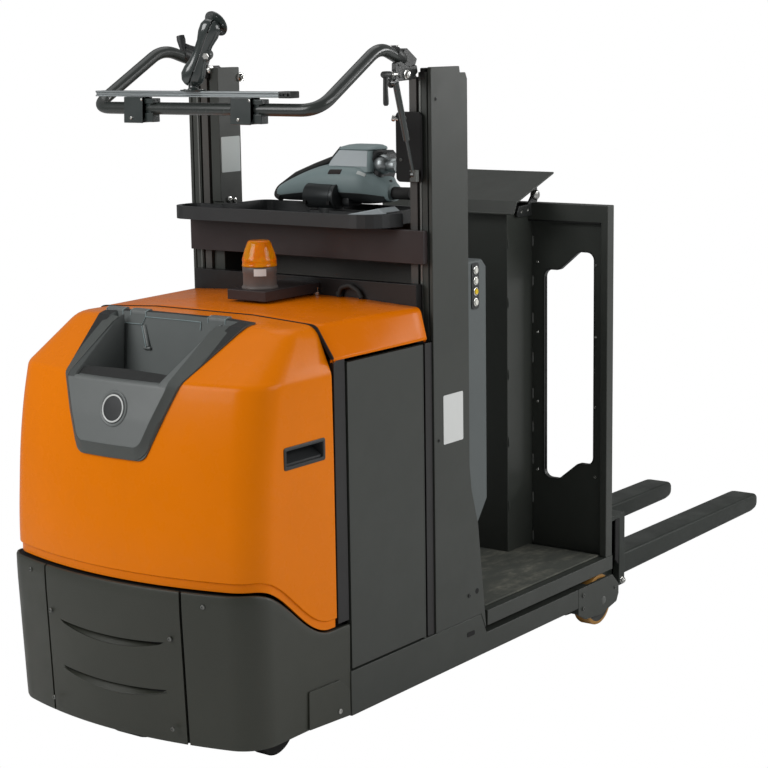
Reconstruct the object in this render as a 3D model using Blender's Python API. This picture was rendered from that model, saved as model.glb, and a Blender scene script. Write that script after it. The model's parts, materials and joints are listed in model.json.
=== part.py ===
"""Order picker truck with a lifting operator platform.

Lengths are metres. The drawing frame has x = 0 at the front face of the mast posts, +X towards the fork tips,
y = 0 on the truck's centreline and z = 0 on the floor. The empty "truck_frame" moves the whole truck along X
so that its length is centred on the world origin.
"""
import math

import bmesh
import bpy
from mathutils import Matrix, Vector

# Clearances
SEAT = 0.0003
RUN = 0.006
OVERCUT = 0.02

# Overall
WIDTH = 0.790
HALF = WIDTH / 2
NOSE_X = -0.790
FORK_TIP_X = 2.290
CENTRE_X = (NOSE_X + FORK_TIP_X) / 2

# Mast posts
POST_TOP_Z = 1.633
POST_DEPTH = 0.160
POST_PLATE = 0.010
POST_CHANNEL_WIDTH = 0.025
POST_CHANNEL_DEPTH = 0.118
POST_FLANGE = 0.014
POST_NOTCH = 0.016
GUSSET_TOP_Z = 0.560
GUSSET_REACH = 0.234

# Support legs and load wheels
LEG_BOTTOM_Z = 0.085
LEG_TOP_Z = 0.198
LEG_LOW_TOP_Z = 0.141
LEG_WIDTH = 0.058
LEG_STEP_X = 0.236
LEG_SLOPE = 0.026
LEG_END_X = 0.716
BRACKET_END_X = 0.949
BRACKET_BOTTOM_Z = 0.036
BRACKET_PLATE = 0.010
LOAD_WHEEL_R = 0.075
LOAD_WHEEL_WIDTH = 0.046
LOAD_WHEEL_X = 0.860
AXLE_R = 0.010

# Battery compartment
MOTOR_BAY = 0.385
BULKHEAD_DEPTH = 0.043
BULKHEAD_FRONT_X = NOSE_X + MOTOR_BAY
BULKHEAD_REAR_X = BULKHEAD_FRONT_X + BULKHEAD_DEPTH
LEG_FRONT_X = BULKHEAD_REAR_X
DOOR_FRONT_X = BULKHEAD_REAR_X + 0.005
DOOR_REAR_X = -0.050
DOOR_BOTTOM_Z = 0.204
DOOR_TOP_Z = 0.955
DOOR_SHEET = 0.014
HINGE_R = 0.006
FLOOR_BOTTOM_Z = 0.105
FLOOR_SHEET = 0.020
MAST_SHEET = 0.024
MAST_SHEET_TOP_Z = 1.100
MAST_SHEET_HALF = HALF - 0.030
STILE_DEPTH = 0.032
BATTERY_SIDE_GAP = 0.012
BATTERY_FRONT_GAP = 0.035
BATTERY_WIDTH = WIDTH - 0.070
BATTERY_HEIGHT = 0.627

# Lid and hood
LID_SIDE_Z = 0.965
LID_EDGE_Z = 1.045
LID_CROWN_Z = 1.056
LID_EDGE_HALF = HALF - 0.050
LID_REAR_EDGE_HALF = HALF - 0.019
LID_REAR_X = -MAST_SHEET - RUN - SEAT
LID_FRONT_X = BULKHEAD_FRONT_X - 0.004
LID_SHEET = 0.010
LID_HEM = 0.006
CROWN_SHARE = 0.45
PANEL_GAP = 0.004
HOOD_WALL = 0.010
HOOD_OPEN_MARGIN = 0.045
HOOD_BASE_Z = 0.300
HOOD_REAR_X = BULKHEAD_REAR_X + 0.012
HOOD_SHOULDER_Z = 0.935
HANDLE_X = BULKHEAD_FRONT_X - 0.115
HANDLE_Z = 0.764
HANDLE_LENGTH = 0.146
HANDLE_HEIGHT = 0.047
HANDLE_DEPTH = 0.050

# Skirt
SKIRT_BOTTOM_Z = 0.095
SKIRT_WALL = 0.018
SKIRT_SEAM_Y = HALF - 0.176
SKIRT_REAR_X = LEG_FRONT_X - SEAT
WAIST_FRONT_Z = 0.470
WAIST_REAR_Z = 0.320
WAIST_FRONT_X = NOSE_X + 0.090
WAIST_REAR_X = BULKHEAD_FRONT_X - 0.025
WAIST_STEPS = 8

# Storage bin in the hood
BIN_BOTTOM_Z = 0.755
BIN_FOLD_Z = 0.925
BIN_BOTTOM_HALF = HALF * 0.266
BIN_FOLD_HALF = HALF * 0.451
BIN_TOP_HALF = HALF * 0.595
BIN_PROUD = 0.004
BIN_FRONT_X = NOSE_X + 0.088
BIN_REAR_X = BULKHEAD_FRONT_X - 0.070
BIN_WALL = 0.012
BIN_FLOOR_Z = 0.830
BIN_BACK_LEAN = 0.085
BIN_BLANK_X = NOSE_X - 0.110
BIN_BLANK_Z = LID_CROWN_Z + 0.064

# Motor bay
DECK_Z = 0.300
DECK_SHEET = 0.016
DECK_FRONT_X = NOSE_X + 0.100
DRIVE_X = BULKHEAD_FRONT_X - 0.155
DRIVE_Y = 0.110
DRIVE_WHEEL_R = 0.115
DRIVE_WHEEL_WIDTH = 0.075
MOTOR_R = 0.100
MOTOR_HEIGHT = 0.260
CASTOR_X = BULKHEAD_FRONT_X - 0.130
CASTOR_Y = -HALF + 0.150
CASTOR_TRAIL = 0.045
CASTOR_R = 0.070
CASTOR_WIDTH = 0.040

# Beacon
BEACON_X = -0.195
BEACON_BASE_R = 0.0435
BEACON_BASE_HEIGHT = 0.056
BEACON_LENS_HEIGHT = 0.066
BEACON_LENS_TOP_R = 0.026
BEACON_SHELF_FRONT_X = -0.250
BEACON_SHELF_HALF = 0.062
BEACON_SHELF_Z = 1.062
BEACON_SHELF_HEIGHT = 0.026

# Crossmember and tray
CROSS_BOTTOM_Z = 1.151
CROSS_TOP_Z = 1.234
CROSS_DEPTH = 0.016
CROSS_HALF = HALF - 0.0125
TRAY_FRONT_X = -0.105
TRAY_BOTTOM_Z = CROSS_TOP_Z + RUN
TRAY_FLOOR = 0.006
TRAY_RIM = 0.010
TRAY_RIM_HEIGHT = 0.034
TRAY_FAR_Y = HALF - 0.011
TRAY_NEAR_Y = -HALF + 0.095
TRAY_REAR_X = 0.170

# Lift carriage
UPRIGHT_WIDTH = 0.022
UPRIGHT_DEPTH = 0.110
UPRIGHT_BOTTOM_Z = LEG_TOP_Z + 0.008
UPRIGHT_TOP_Z = 1.605
ROLLER_R = 0.038
ROLLER_WIDTH = 0.018
ROLLER_LOW_Z = 0.250
ROLLER_HIGH_Z = 0.400
BACK_SHEET = 0.014
BACK_TOP_Z = TRAY_BOTTOM_Z - SEAT
LABEL_POST_WIDTH = 0.030
LABEL_POST_DEPTH = 0.080
LABEL_POST_OUTER_Y = HALF - 0.082
LABEL_POST_BOTTOM_Z = 0.400

# Operator console housing
HOUSING_HALF = HALF - 0.065
HOUSING_REAR_X = 0.343
HOUSING_FOOT_X = 0.295
HOUSING_TOP_Z = 1.128
HOUSING_LOW_Z = 0.479
HOUSING_FOOT_Z = 0.416
BUTTON_X = 0.286
BUTTON_R = 0.010
BUTTON_PITCH = 0.028
BUTTON_TOP_Z = 1.102
BUTTON_COUNT = 4

# Platform
PLATFORM_FRONT_X = 0.241
PLATFORM_REAR_X = 0.911
PLATFORM_BOTTOM_Z = 0.158
PLATFORM_TOP_Z = 0.200
PLATFORM_SHEET = 0.012
PLATFORM_RAIL = 0.022
TONGUE_HALF = HALF - 0.075
MAT_THICKNESS = 0.006
MAT_MARGIN = 0.024

# Rear wall of the cage and its windows
WALL_FRONT_X = 0.871
WALL_REAR_X = 0.907
WALL_SHEET = 0.014
WALL_TOP_Z = 1.227
WALL_RIM = 0.022
WALL_TOP_RIM = 0.050
WINDOW_TOP_INNER_Z = 1.032
WINDOW_TOP_OUTER_Z = 1.088
WINDOW_LOW_INNER_Z = 0.412
WINDOW_LOW_OUTER_Z = 0.466
WINDOW_CORNER = 0.022
BOX_FRONT_X = 0.757
BOX_HALF = HALF - 0.265
BOX_TOP_Z = 1.205
WINDOW_INNER_Y = BOX_HALF + 0.043
WINDOW_OUTER_Y = HALF - 0.057

# Writing desk
DESK_FRONT_X = 0.720
DESK_REAR_X = 0.925
DESK_FRONT_Z = 1.243
DESK_REAR_Z = 1.314
DESK_HALF = HALF - 0.210
DESK_SHEET = 0.006
DESK_LIP = 0.035

# Fork carriage and forks
FORK_FRAME_HALF = HALF - 0.115
FORK_FRAME_TOP_Z = 0.258
FORK_FRAME_BOTTOM_Z = 0.030
FORK_FRAME_REAR_X = 1.190
FORK_FRAME_PLATE = 0.034
FORK_FRAME_SHEET = 0.016
FORK_OUTER_Y = FORK_FRAME_HALF - 0.060
FORK_WIDTH = 0.100
FORK_TOP_Z = 0.095
FORK_HEEL_Z = 0.024
FORK_TIP_Z = 0.050

# Equipment bar
BAR_R = 0.015
BAR_Y = HALF - 0.060
BAR_PEAK_Y = HALF - 0.047
BAR_CROSS_Y = HALF - 0.039
BAR_PIVOT_X = -0.010
BAR_PIVOT_Z = 1.628
BAR_CROSS_X = -0.396
BAR_CROSS_Z = 1.543
BAR_PEAK_X = -0.105
BAR_PEAK_Z = 1.696
BAR_BEND = 0.050
BAR_EYE_X = -0.107
BAR_EYE_Z = 1.598
STRUT_FOOT_X = -0.037
STRUT_FOOT_Z = 1.373
STRUT_Y = HALF - 0.029
STRUT_TUBE_R = 0.008
STRUT_ROD_R = 0.004
STRUT_TUBE_SHARE = 0.62
RAIL_FAR_Y = HALF - 0.063
RAIL_NEAR_Y = -HALF + 0.105
RAIL_Z = 1.578
RAIL_DEPTH = 0.034
RAIL_HEIGHT = 0.016
CLAMP_Y = (HALF * 0.5, -HALF * 0.333)
CLAMP_WIDTH = 0.050
MOUNT_Y = 0.020
MOUNT_PLATE_R = 0.030
BLOCK_HALF = 0.016
HUB_R = 0.013
STRUT_INSERT = 0.085

# Steering console
HEAD_X = 0.110
HEAD_Z = 1.300
HEAD_Y = -0.035
HEAD_BOTTOM_Z = 1.274
HEAD_SIDES = 20
CORNER_STEPS = 8

MATERIALS = {
    "orange_paint": ((0.650, 0.155, 0.008), 0.28, 0.0),
    "dark_grey_paint": ((0.050, 0.055, 0.050), 0.42, 0.0),
    "black_paint": ((0.014, 0.013, 0.013), 0.40, 0.0),
    "brown_black_paint": ((0.026, 0.018, 0.016), 0.35, 0.0),
    "grey_plastic": ((0.120, 0.130, 0.132), 0.48, 0.0),
    "light_grey_plastic": ((0.300, 0.320, 0.330), 0.45, 0.0),
    "black_plastic": ((0.016, 0.017, 0.018), 0.50, 0.0),
    "black_rubber": ((0.022, 0.022, 0.021), 0.85, 0.0),
    "amber_lens": ((0.900, 0.300, 0.020), 0.12, 0.0),
    "amber_tread": ((0.560, 0.300, 0.070), 0.40, 0.0),
    "bare_steel": ((0.500, 0.500, 0.480), 0.32, 1.0),
    "cast_grey": ((0.090, 0.095, 0.095), 0.55, 0.4),
}


def clear_scene():
    for old in list(bpy.data.objects):
        bpy.data.objects.remove(old, do_unlink=True)


def make_material(name):
    colour, roughness, metallic = MATERIALS[name]
    material = bpy.data.materials.new(name)
    material.use_nodes = True
    shader = material.node_tree.nodes["Principled BSDF"]
    shader.inputs["Base Color"].default_value = (*colour, 1.0)
    shader.inputs["Roughness"].default_value = roughness
    shader.inputs["Metallic"].default_value = metallic
    return material


class Frame:
    """An empty on a joint's axis, with the drawing-frame point where it sits."""

    def __init__(self, name, pivot, parent=None):
        self.pivot = Vector(pivot)
        self.empty = bpy.data.objects.new(name, None)
        bpy.context.scene.collection.objects.link(self.empty)
        if parent:
            self.empty.parent = parent.empty
            self.empty.location = self.pivot - parent.pivot


def link(name, mesh_data, frame):
    for vertex in mesh_data.verts:
        vertex.co -= frame.pivot
    mesh = bpy.data.meshes.new(name)
    mesh_data.to_mesh(mesh)
    mesh_data.free()
    made = bpy.data.objects.new(name, mesh)
    bpy.context.scene.collection.objects.link(made)
    made.parent = frame.empty
    return made


def solid(name, material, shape, frame, add=(), cut=(), keep=(), bevel=0.0):
    """Link one node; add, cut and keep are shapes for its Boolean modifiers."""
    made = link(name, shape, frame)
    made.data.materials.append(PAINT[material])
    steps = [("UNION", s) for s in add] + [("INTERSECT", s) for s in keep] + [("DIFFERENCE", s) for s in cut]
    for count, (operation, tool_shape) in enumerate(steps):
        tool = link(f"{name}_tool_{count}", tool_shape, frame)
        tool.hide_render = True
        tool.display_type = "WIRE"
        modifier = made.modifiers.new(f"{operation.lower()}_{count}", "BOOLEAN")
        modifier.operation = operation
        modifier.solver = "EXACT"
        modifier.object = tool
    if bevel:
        edge = made.modifiers.new("edge", "BEVEL")
        edge.width = bevel
        edge.segments = 2
        edge.limit_method = "ANGLE"
        edge.angle_limit = math.radians(50)
    return made


def closed(mesh_data):
    bmesh.ops.recalc_face_normals(mesh_data, faces=mesh_data.faces)
    return mesh_data


def box(x_range, y_range, z_range):
    mesh_data = bmesh.new()
    bmesh.ops.create_cube(mesh_data, size=1.0)
    for vertex in mesh_data.verts:
        for axis, (low, high) in enumerate((x_range, y_range, z_range)):
            vertex.co[axis] = (low + high) / 2 + vertex.co[axis] * (high - low)
    return closed(mesh_data)


def loft(rings):
    """Skin rings of equal length and cap both ends."""
    mesh_data = bmesh.new()
    rows = [[mesh_data.verts.new(point) for point in ring] for ring in rings]
    for lower, upper in zip(rows, rows[1:]):
        for index in range(len(lower)):
            after = (index + 1) % len(lower)
            mesh_data.faces.new((lower[index], lower[after], upper[after], upper[index]))
    mesh_data.faces.new(rows[0][::-1])
    mesh_data.faces.new(rows[-1])
    return closed(mesh_data)


def prism(axis, outline, low, high):
    """Extrude a 2-D outline along one axis; the outline holds the other two axes in X, Y, Z order."""
    def place(point, level):
        coords = list(point)
        coords.insert("XYZ".index(axis), level)
        return coords
    return loft([[place(p, low) for p in outline], [place(p, high) for p in outline]])


def rod(start, end, radius, end_radius=None, segments=24):
    """A round bar or a cone between two points."""
    start, end = Vector(start), Vector(end)
    turn = (end - start).to_track_quat("Z", "Y").to_matrix()
    rings = []
    for centre, size in ((start, radius), (end, radius if end_radius is None else end_radius)):
        ring = []
        for step in range(segments):
            angle = 2 * math.pi * step / segments
            ring.append(centre + turn @ Vector((size * math.cos(angle), size * math.sin(angle), 0)))
        rings.append(ring)
    return loft(rings)


def turned(centre, profile, axis="Z", segments=32):
    """Turn (radius, height) pairs about an axis through the centre."""
    rings = []
    for radius, height in profile:
        ring = []
        for step in range(segments):
            angle = 2 * math.pi * step / segments
            across, other = radius * math.cos(angle), radius * math.sin(angle)
            local = (across, other, height) if axis == "Z" else (across, height, other)
            ring.append(Vector(centre) + Vector(local))
        rings.append(ring)
    return loft(rings)


def arc(centre, radius, start_deg, end_deg, steps):
    points = []
    for step in range(steps + 1):
        angle = math.radians(start_deg + (end_deg - start_deg) * step / steps)
        points.append((centre[0] + radius * math.cos(angle), centre[1] + radius * math.sin(angle)))
    return points


def rounded(outline, radius, steps=4):
    """Round the corners of a 2-D outline; a corner given as (x, y, r) has its own radius."""
    points = []
    for index, corner in enumerate(outline):
        here = Vector(corner[:2])
        size = corner[2] if len(corner) > 2 else radius
        before = (Vector(outline[index - 1][:2]) - here).normalized()
        after = (Vector(outline[(index + 1) % len(outline)][:2]) - here).normalized()
        half_angle = before.angle(after) / 2
        if size <= 0 or half_angle > math.radians(88):
            points.append(tuple(here))
            continue
        reach = size / math.tan(half_angle)
        middle = here + (before + after).normalized() * size / math.sin(half_angle)
        first = here + before * reach - middle
        last = here + after * reach - middle
        sweep = first.angle_signed(last)
        for step in range(steps + 1):
            points.append(tuple(middle + Matrix.Rotation(-sweep * step / steps, 2) @ first))
    return points


def bent_path(points, radius, steps=6):
    """A 3-D path with its inner corners rounded."""
    path = [Vector(points[0])]
    for before, here, after in zip(points, points[1:], points[2:]):
        before, here, after = Vector(before), Vector(here), Vector(after)
        to_before, to_after = (before - here).normalized(), (after - here).normalized()
        half_angle = to_before.angle(to_after) / 2
        reach = radius / math.tan(half_angle)
        middle = here + (to_before + to_after).normalized() * radius / math.sin(half_angle)
        first, last = here + to_before * reach - middle, here + to_after * reach - middle
        for step in range(steps + 1):
            path.append(middle + first.slerp(last, step / steps).normalized() * radius)
    path.append(Vector(points[-1]))
    return path


def tube(path, radius, segments=16):
    """A round solid along a path, with its rings carried along by the smallest turn."""
    rings = []
    side = (path[1] - path[0]).orthogonal().normalized()
    for index, centre in enumerate(path):
        ahead = path[min(index + 1, len(path) - 1)]
        behind = path[max(index - 1, 0)]
        tangent = (ahead - behind).normalized()
        side = (side - tangent * side.dot(tangent)).normalized()
        other = tangent.cross(side)
        ring = []
        for step in range(segments):
            angle = 2 * math.pi * step / segments
            ring.append(centre + radius * (side * math.cos(angle) + other * math.sin(angle)))
        rings.append(ring)
    return loft(rings)


def mirrored(points, side):
    """Mirror an XY outline, drawn for the near side, across the centreline when side is +1."""
    return [(x, -side * y) if side > 0 else (x, y) for x, y in points]


def span(side, inner, outer):
    """A y range between two distances from the centreline, on one side."""
    return (inner, outer) if side > 0 else (-outer, -inner)


def plan_ring(level, nose, half_width, corner, bow, rear):
    """The hood's plan outline at one height: a bowed front, round corners and straight sides to the rear."""
    start = half_width - corner
    for _ in range(6):
        angle = math.atan(2 * bow * start / half_width ** 2)
        start = half_width - corner * (1 - math.sin(angle))
    centre_x = nose + bow * (start / half_width) ** 2 + corner * math.cos(angle)
    centre_y = start - corner * math.sin(angle)
    quarter = []
    for step in range(CORNER_STEPS + 1):
        turn = angle + (math.pi / 2 - angle) * step / CORNER_STEPS
        quarter.append((centre_x - corner * math.cos(turn), centre_y + corner * math.sin(turn)))
    outline = [(rear, -half_width)] + [(x, -y) for x, y in reversed(quarter)]
    for share in (-0.66, -0.33, 0.0, 0.33, 0.66):
        outline.append((nose + bow * (start * share / half_width) ** 2, start * share))
    outline += quarter + [(rear, half_width)]
    return [(x, y, level) for x, y in outline]


# Each row is height, nose x, half width, corner radius, bow of the front
HOOD_ROWS = (
    (HOOD_BASE_Z, NOSE_X + 0.011, HALF - 0.003, 0.090, 0.069),
    (0.560, NOSE_X + 0.014, HALF - 0.003, 0.090, 0.068),
    (0.740, NOSE_X + 0.032, HALF - 0.003, 0.090, 0.063),
    (0.850, NOSE_X + 0.053, HALF - 0.004, 0.090, 0.058),
    (HOOD_SHOULDER_Z, NOSE_X + 0.076, HALF - 0.005, 0.090, 0.055),
    (LID_EDGE_Z, NOSE_X + 0.245, LID_EDGE_HALF, 0.055, 0.030),
)
SKIRT_ROWS = (
    (SKIRT_BOTTOM_Z, NOSE_X + 0.014, HALF - 0.004, 0.090, 0.069),
    (WAIST_FRONT_Z - 0.050, NOSE_X, HALF, 0.092, 0.069),
    (WAIST_FRONT_Z + 0.040, NOSE_X, HALF, 0.092, 0.069),
)


def hood_form(grow, rear):
    """The hood's outer form, grown by a margin, with its top closed by the crown."""
    rows = []
    for level, nose, half_width, corner, bow in HOOD_ROWS:
        rows.append(plan_ring(level, nose - grow, half_width + grow, corner + grow, bow, rear))
    level, nose, half_width, corner, bow = HOOD_ROWS[-1]
    rise = LID_CROWN_Z - LID_EDGE_Z
    rows[-1] = [(x, y, z + grow) for x, y, z in rows[-1]]
    rows.append(plan_ring(level + rise + grow, nose + 0.04 - grow, half_width * CROWN_SHARE, 0.03,
                          bow * 0.4, rear))
    return loft(rows)


def below_waist(offset):
    """Everything under the line where the hood meets the skirt, moved down by an offset."""
    line = [(NOSE_X - OVERCUT, WAIST_FRONT_Z)]
    for step in range(WAIST_STEPS + 1):
        share = step / WAIST_STEPS
        drop = (1 - math.cos(math.pi * share)) / 2
        line.append((WAIST_FRONT_X + (WAIST_REAR_X - WAIST_FRONT_X) * share,
                     WAIST_FRONT_Z + (WAIST_REAR_Z - WAIST_FRONT_Z) * drop))
    line.append((-0.1, WAIST_REAR_Z))
    outline = [(x, z - offset) for x, z in line]
    outline += [(-0.1, 0.0), (NOSE_X - OVERCUT, 0.0)]
    return prism("Y", outline, -HALF - OVERCUT, HALF + OVERCUT)


def bin_outline(grow):
    """The storage bin's front outline in Y and Z."""
    top_z = BIN_BLANK_Z
    slope = (BIN_TOP_HALF - BIN_FOLD_HALF) / (LID_CROWN_Z - BIN_FOLD_Z)
    top_half = BIN_FOLD_HALF + slope * (top_z - BIN_FOLD_Z)
    half = [
        (BIN_BOTTOM_HALF + grow, BIN_BOTTOM_Z - grow, 0.030),
        (BIN_FOLD_HALF + grow, BIN_FOLD_Z, 0.0),
        (top_half + grow, top_z, 0.0),
    ]
    return rounded(half + [(-y, z, r) for y, z, r in reversed(half)], 0.0)


def motor_hood(frame):
    inner = hood_form(-HOOD_WALL, HOOD_REAR_X + OVERCUT)
    open_below = box((NOSE_X + HOOD_OPEN_MARGIN, HOOD_REAR_X + OVERCUT), (-HALF + OVERCUT, HALF - OVERCUT),
                     (HOOD_BASE_Z - OVERCUT, HOOD_BASE_Z + OVERCUT))
    behind = box((LID_FRONT_X - PANEL_GAP / 2, 0.0), (-WIDTH, WIDTH), (0.0, POST_TOP_Z))
    opening = prism("X", bin_outline(SEAT), BIN_BLANK_X, BIN_REAR_X + 0.001)
    cuts = [inner, open_below, below_waist(-SEAT / 2), behind, opening]
    solid("motor_hood", "orange_paint", hood_form(0.0, HOOD_REAR_X), frame, cut=cuts + handle_cuts())


def handle_cuts():
    cuts = []
    for side in (-1, 1):
        x_range = (HANDLE_X - HANDLE_LENGTH / 2, HANDLE_X + HANDLE_LENGTH / 2)
        z_range = (HANDLE_Z - HANDLE_HEIGHT / 2, HANDLE_Z + HANDLE_HEIGHT / 2)
        cuts.append(box(x_range, span(side, HALF - HANDLE_DEPTH, HALF + OVERCUT), z_range))
    return cuts


def storage_bin(frame):
    """A moulded bin let into the hood: the panel below the fold is thin, the pocket above it is hollow."""
    floor_rear_x = BIN_REAR_X - BIN_BACK_LEAN
    profile = [
        (BIN_BLANK_X, BIN_BOTTOM_Z - OVERCUT), (BIN_FRONT_X, BIN_BOTTOM_Z - OVERCUT),
        (BIN_FRONT_X, BIN_FLOOR_Z - BIN_WALL), (floor_rear_x, BIN_FLOOR_Z - BIN_WALL),
        (BIN_REAR_X, BIN_BLANK_Z), (BIN_BLANK_X, BIN_BLANK_Z),
    ]
    sides = prism("Y", profile, -HALF, HALF)
    low_half, high_half = BIN_FOLD_HALF - 0.060, BIN_TOP_HALF - 0.013
    rows = ((BIN_FLOOR_Z, floor_rear_x - BIN_WALL, low_half),
            (BIN_BLANK_Z + OVERCUT, BIN_REAR_X - BIN_WALL, high_half))
    pocket = []
    for level, rear, half in rows:
        pocket.append([(BIN_FRONT_X + BIN_WALL, -half, level), (rear, -half, level),
                       (rear, half, level), (BIN_FRONT_X + BIN_WALL, half, level)])
    solid("storage_bin", "grey_plastic", prism("X", bin_outline(0.0), BIN_BLANK_X, BIN_REAR_X), frame,
          keep=[sides, hood_form(BIN_PROUD, HOOD_REAR_X)], cut=[loft(pocket)])


def skirt(frame):
    """Three cast panels round the motor bay, split at the front seams."""
    def ring_wall(cuts):
        outer = loft([plan_ring(*row, SKIRT_REAR_X) for row in SKIRT_ROWS])
        inner_rows = []
        for (level, nose, half, corner, bow), shift in zip(SKIRT_ROWS, (-OVERCUT, 0.0, OVERCUT)):
            inner_rows.append(plan_ring(level + shift, nose + SKIRT_WALL, half - SKIRT_WALL,
                                        corner - SKIRT_WALL / 2, bow, SKIRT_REAR_X + OVERCUT))
        inner = loft(inner_rows)
        above = below_waist(SEAT / 2)
        return outer, [inner] + cuts, above
    panels = (
        ("skirt_front", [("y", -2.0, -SKIRT_SEAM_Y), ("y", SKIRT_SEAM_Y, 2.0), ("x", WAIST_FRONT_X, 2.0)]),
        ("skirt_near", [("y", -SKIRT_SEAM_Y - SEAT, 2.0)]),
        ("skirt_far", [("y", -2.0, SKIRT_SEAM_Y + SEAT)]),
    )
    for name, limits in panels:
        cuts = []
        for axis, low, high in limits:
            x_range = (low, high) if axis == "x" else (-2.0, 2.0)
            y_range = (low, high) if axis == "y" else (-2.0, 2.0)
            cuts.append(box(x_range, y_range, (0.0, 1.0)))
        outer, walls, above = ring_wall(cuts)
        solid(name, "dark_grey_paint", outer, frame, keep=[above], cut=walls)


def chassis_frame(frame):
    """Battery tray, front bulkhead, mast sheet and motor deck, welded together."""
    inner_half = HALF - LEG_WIDTH - SEAT
    tray = box((BULKHEAD_FRONT_X, -RUN), (-inner_half, inner_half),
               (FLOOR_BOTTOM_Z, FLOOR_BOTTOM_Z + FLOOR_SHEET))
    bulkhead = box((BULKHEAD_FRONT_X, BULKHEAD_REAR_X), (-HALF + 0.003, HALF - 0.003),
                   (WAIST_REAR_Z + 2 * PANEL_GAP, LID_SIDE_Z - SEAT))
    skirt_inside = HALF - SKIRT_WALL - 2 * PANEL_GAP
    bulkhead_low = box((BULKHEAD_FRONT_X, BULKHEAD_REAR_X), (-skirt_inside, skirt_inside),
                       (LEG_TOP_Z + SEAT, DOOR_TOP_Z - 0.1))
    bulkhead_foot = box((BULKHEAD_FRONT_X, LEG_FRONT_X - SEAT), (-inner_half, inner_half),
                        (FLOOR_BOTTOM_Z, LEG_TOP_Z + 0.02))
    mast_sheet = box((-MAST_SHEET - RUN, -RUN), (-MAST_SHEET_HALF, MAST_SHEET_HALF),
                     (LEG_TOP_Z + SEAT, MAST_SHEET_TOP_Z))
    mast_foot = box((-MAST_SHEET - RUN, -RUN), (-inner_half, inner_half), (FLOOR_BOTTOM_Z, LEG_TOP_Z + 0.02))
    deck = box((DECK_FRONT_X, BULKHEAD_FRONT_X + 0.01), (-skirt_inside + 0.030, skirt_inside - 0.030),
               (DECK_Z, DECK_Z + DECK_SHEET))
    stiles = []
    for side in (-1, 1):
        stiles.append(box((-STILE_DEPTH, -SEAT), span(side, HALF - 0.035, HALF - 0.004),
                          (LEG_TOP_Z + SEAT, DOOR_TOP_Z)))
    solid("chassis_frame", "black_paint", tray, frame,
          add=[bulkhead, bulkhead_low, bulkhead_foot, mast_sheet, mast_foot, deck] + stiles)


def battery(frame):
    rear = -MAST_SHEET - RUN - BATTERY_SIDE_GAP
    base = FLOOR_BOTTOM_Z + FLOOR_SHEET + SEAT
    front = BULKHEAD_REAR_X + BATTERY_FRONT_GAP
    half = BATTERY_WIDTH / 2
    foot_half = HALF - LEG_WIDTH - 0.007
    solid("battery_block", "black_plastic",
          box((front, rear), (-half, half), (LEG_TOP_Z + SEAT, base + BATTERY_HEIGHT)), frame,
          add=[box((front, rear), (-foot_half, foot_half), (base, LEG_TOP_Z + 0.02))])


def lid_section(x, edge_half):
    """The lid's section across the truck at one x: outer line there, inner line back."""
    inner = LID_SHEET
    crown_half = edge_half * CROWN_SHARE
    half = [
        (HALF, LID_SIDE_Z), (HALF, LID_SIDE_Z + LID_HEM), (edge_half, LID_EDGE_Z), (crown_half, LID_CROWN_Z),
    ]
    inner_half = [
        (crown_half, LID_CROWN_Z - inner), (edge_half - inner / 2, LID_EDGE_Z - inner),
        (HALF - inner, LID_SIDE_Z),
    ]
    outer = [(-y, z) for y, z in half] + list(reversed(half))
    return [(x, y, z) for y, z in outer + list(reversed(inner_half)) + [(-y, z) for y, z in inner_half]]


def battery_lid(frame):
    front = lid_section(LID_FRONT_X + PANEL_GAP / 2, LID_EDGE_HALF)
    rear = lid_section(LID_REAR_X, LID_REAR_EDGE_HALF)
    solid("battery_lid", "orange_paint", loft([front, rear]), frame)


def battery_doors(frames):
    """Side doors with a hinge bead along the edge next to the mast."""
    for name, side in (("near", -1), ("far", 1)):
        sheet = box((DOOR_FRONT_X, DOOR_REAR_X), span(side, HALF - DOOR_SHEET, HALF),
                    (DOOR_BOTTOM_Z, DOOR_TOP_Z))
        axis_x, axis_y = frames[name].pivot[0], frames[name].pivot[1]
        bead = rod((axis_x, axis_y, LEG_TOP_Z + SEAT), (axis_x, axis_y, DOOR_TOP_Z), HINGE_R, segments=16)
        solid(f"battery_door_{name}", "dark_grey_paint", sheet, frames[name], add=[bead])


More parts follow.
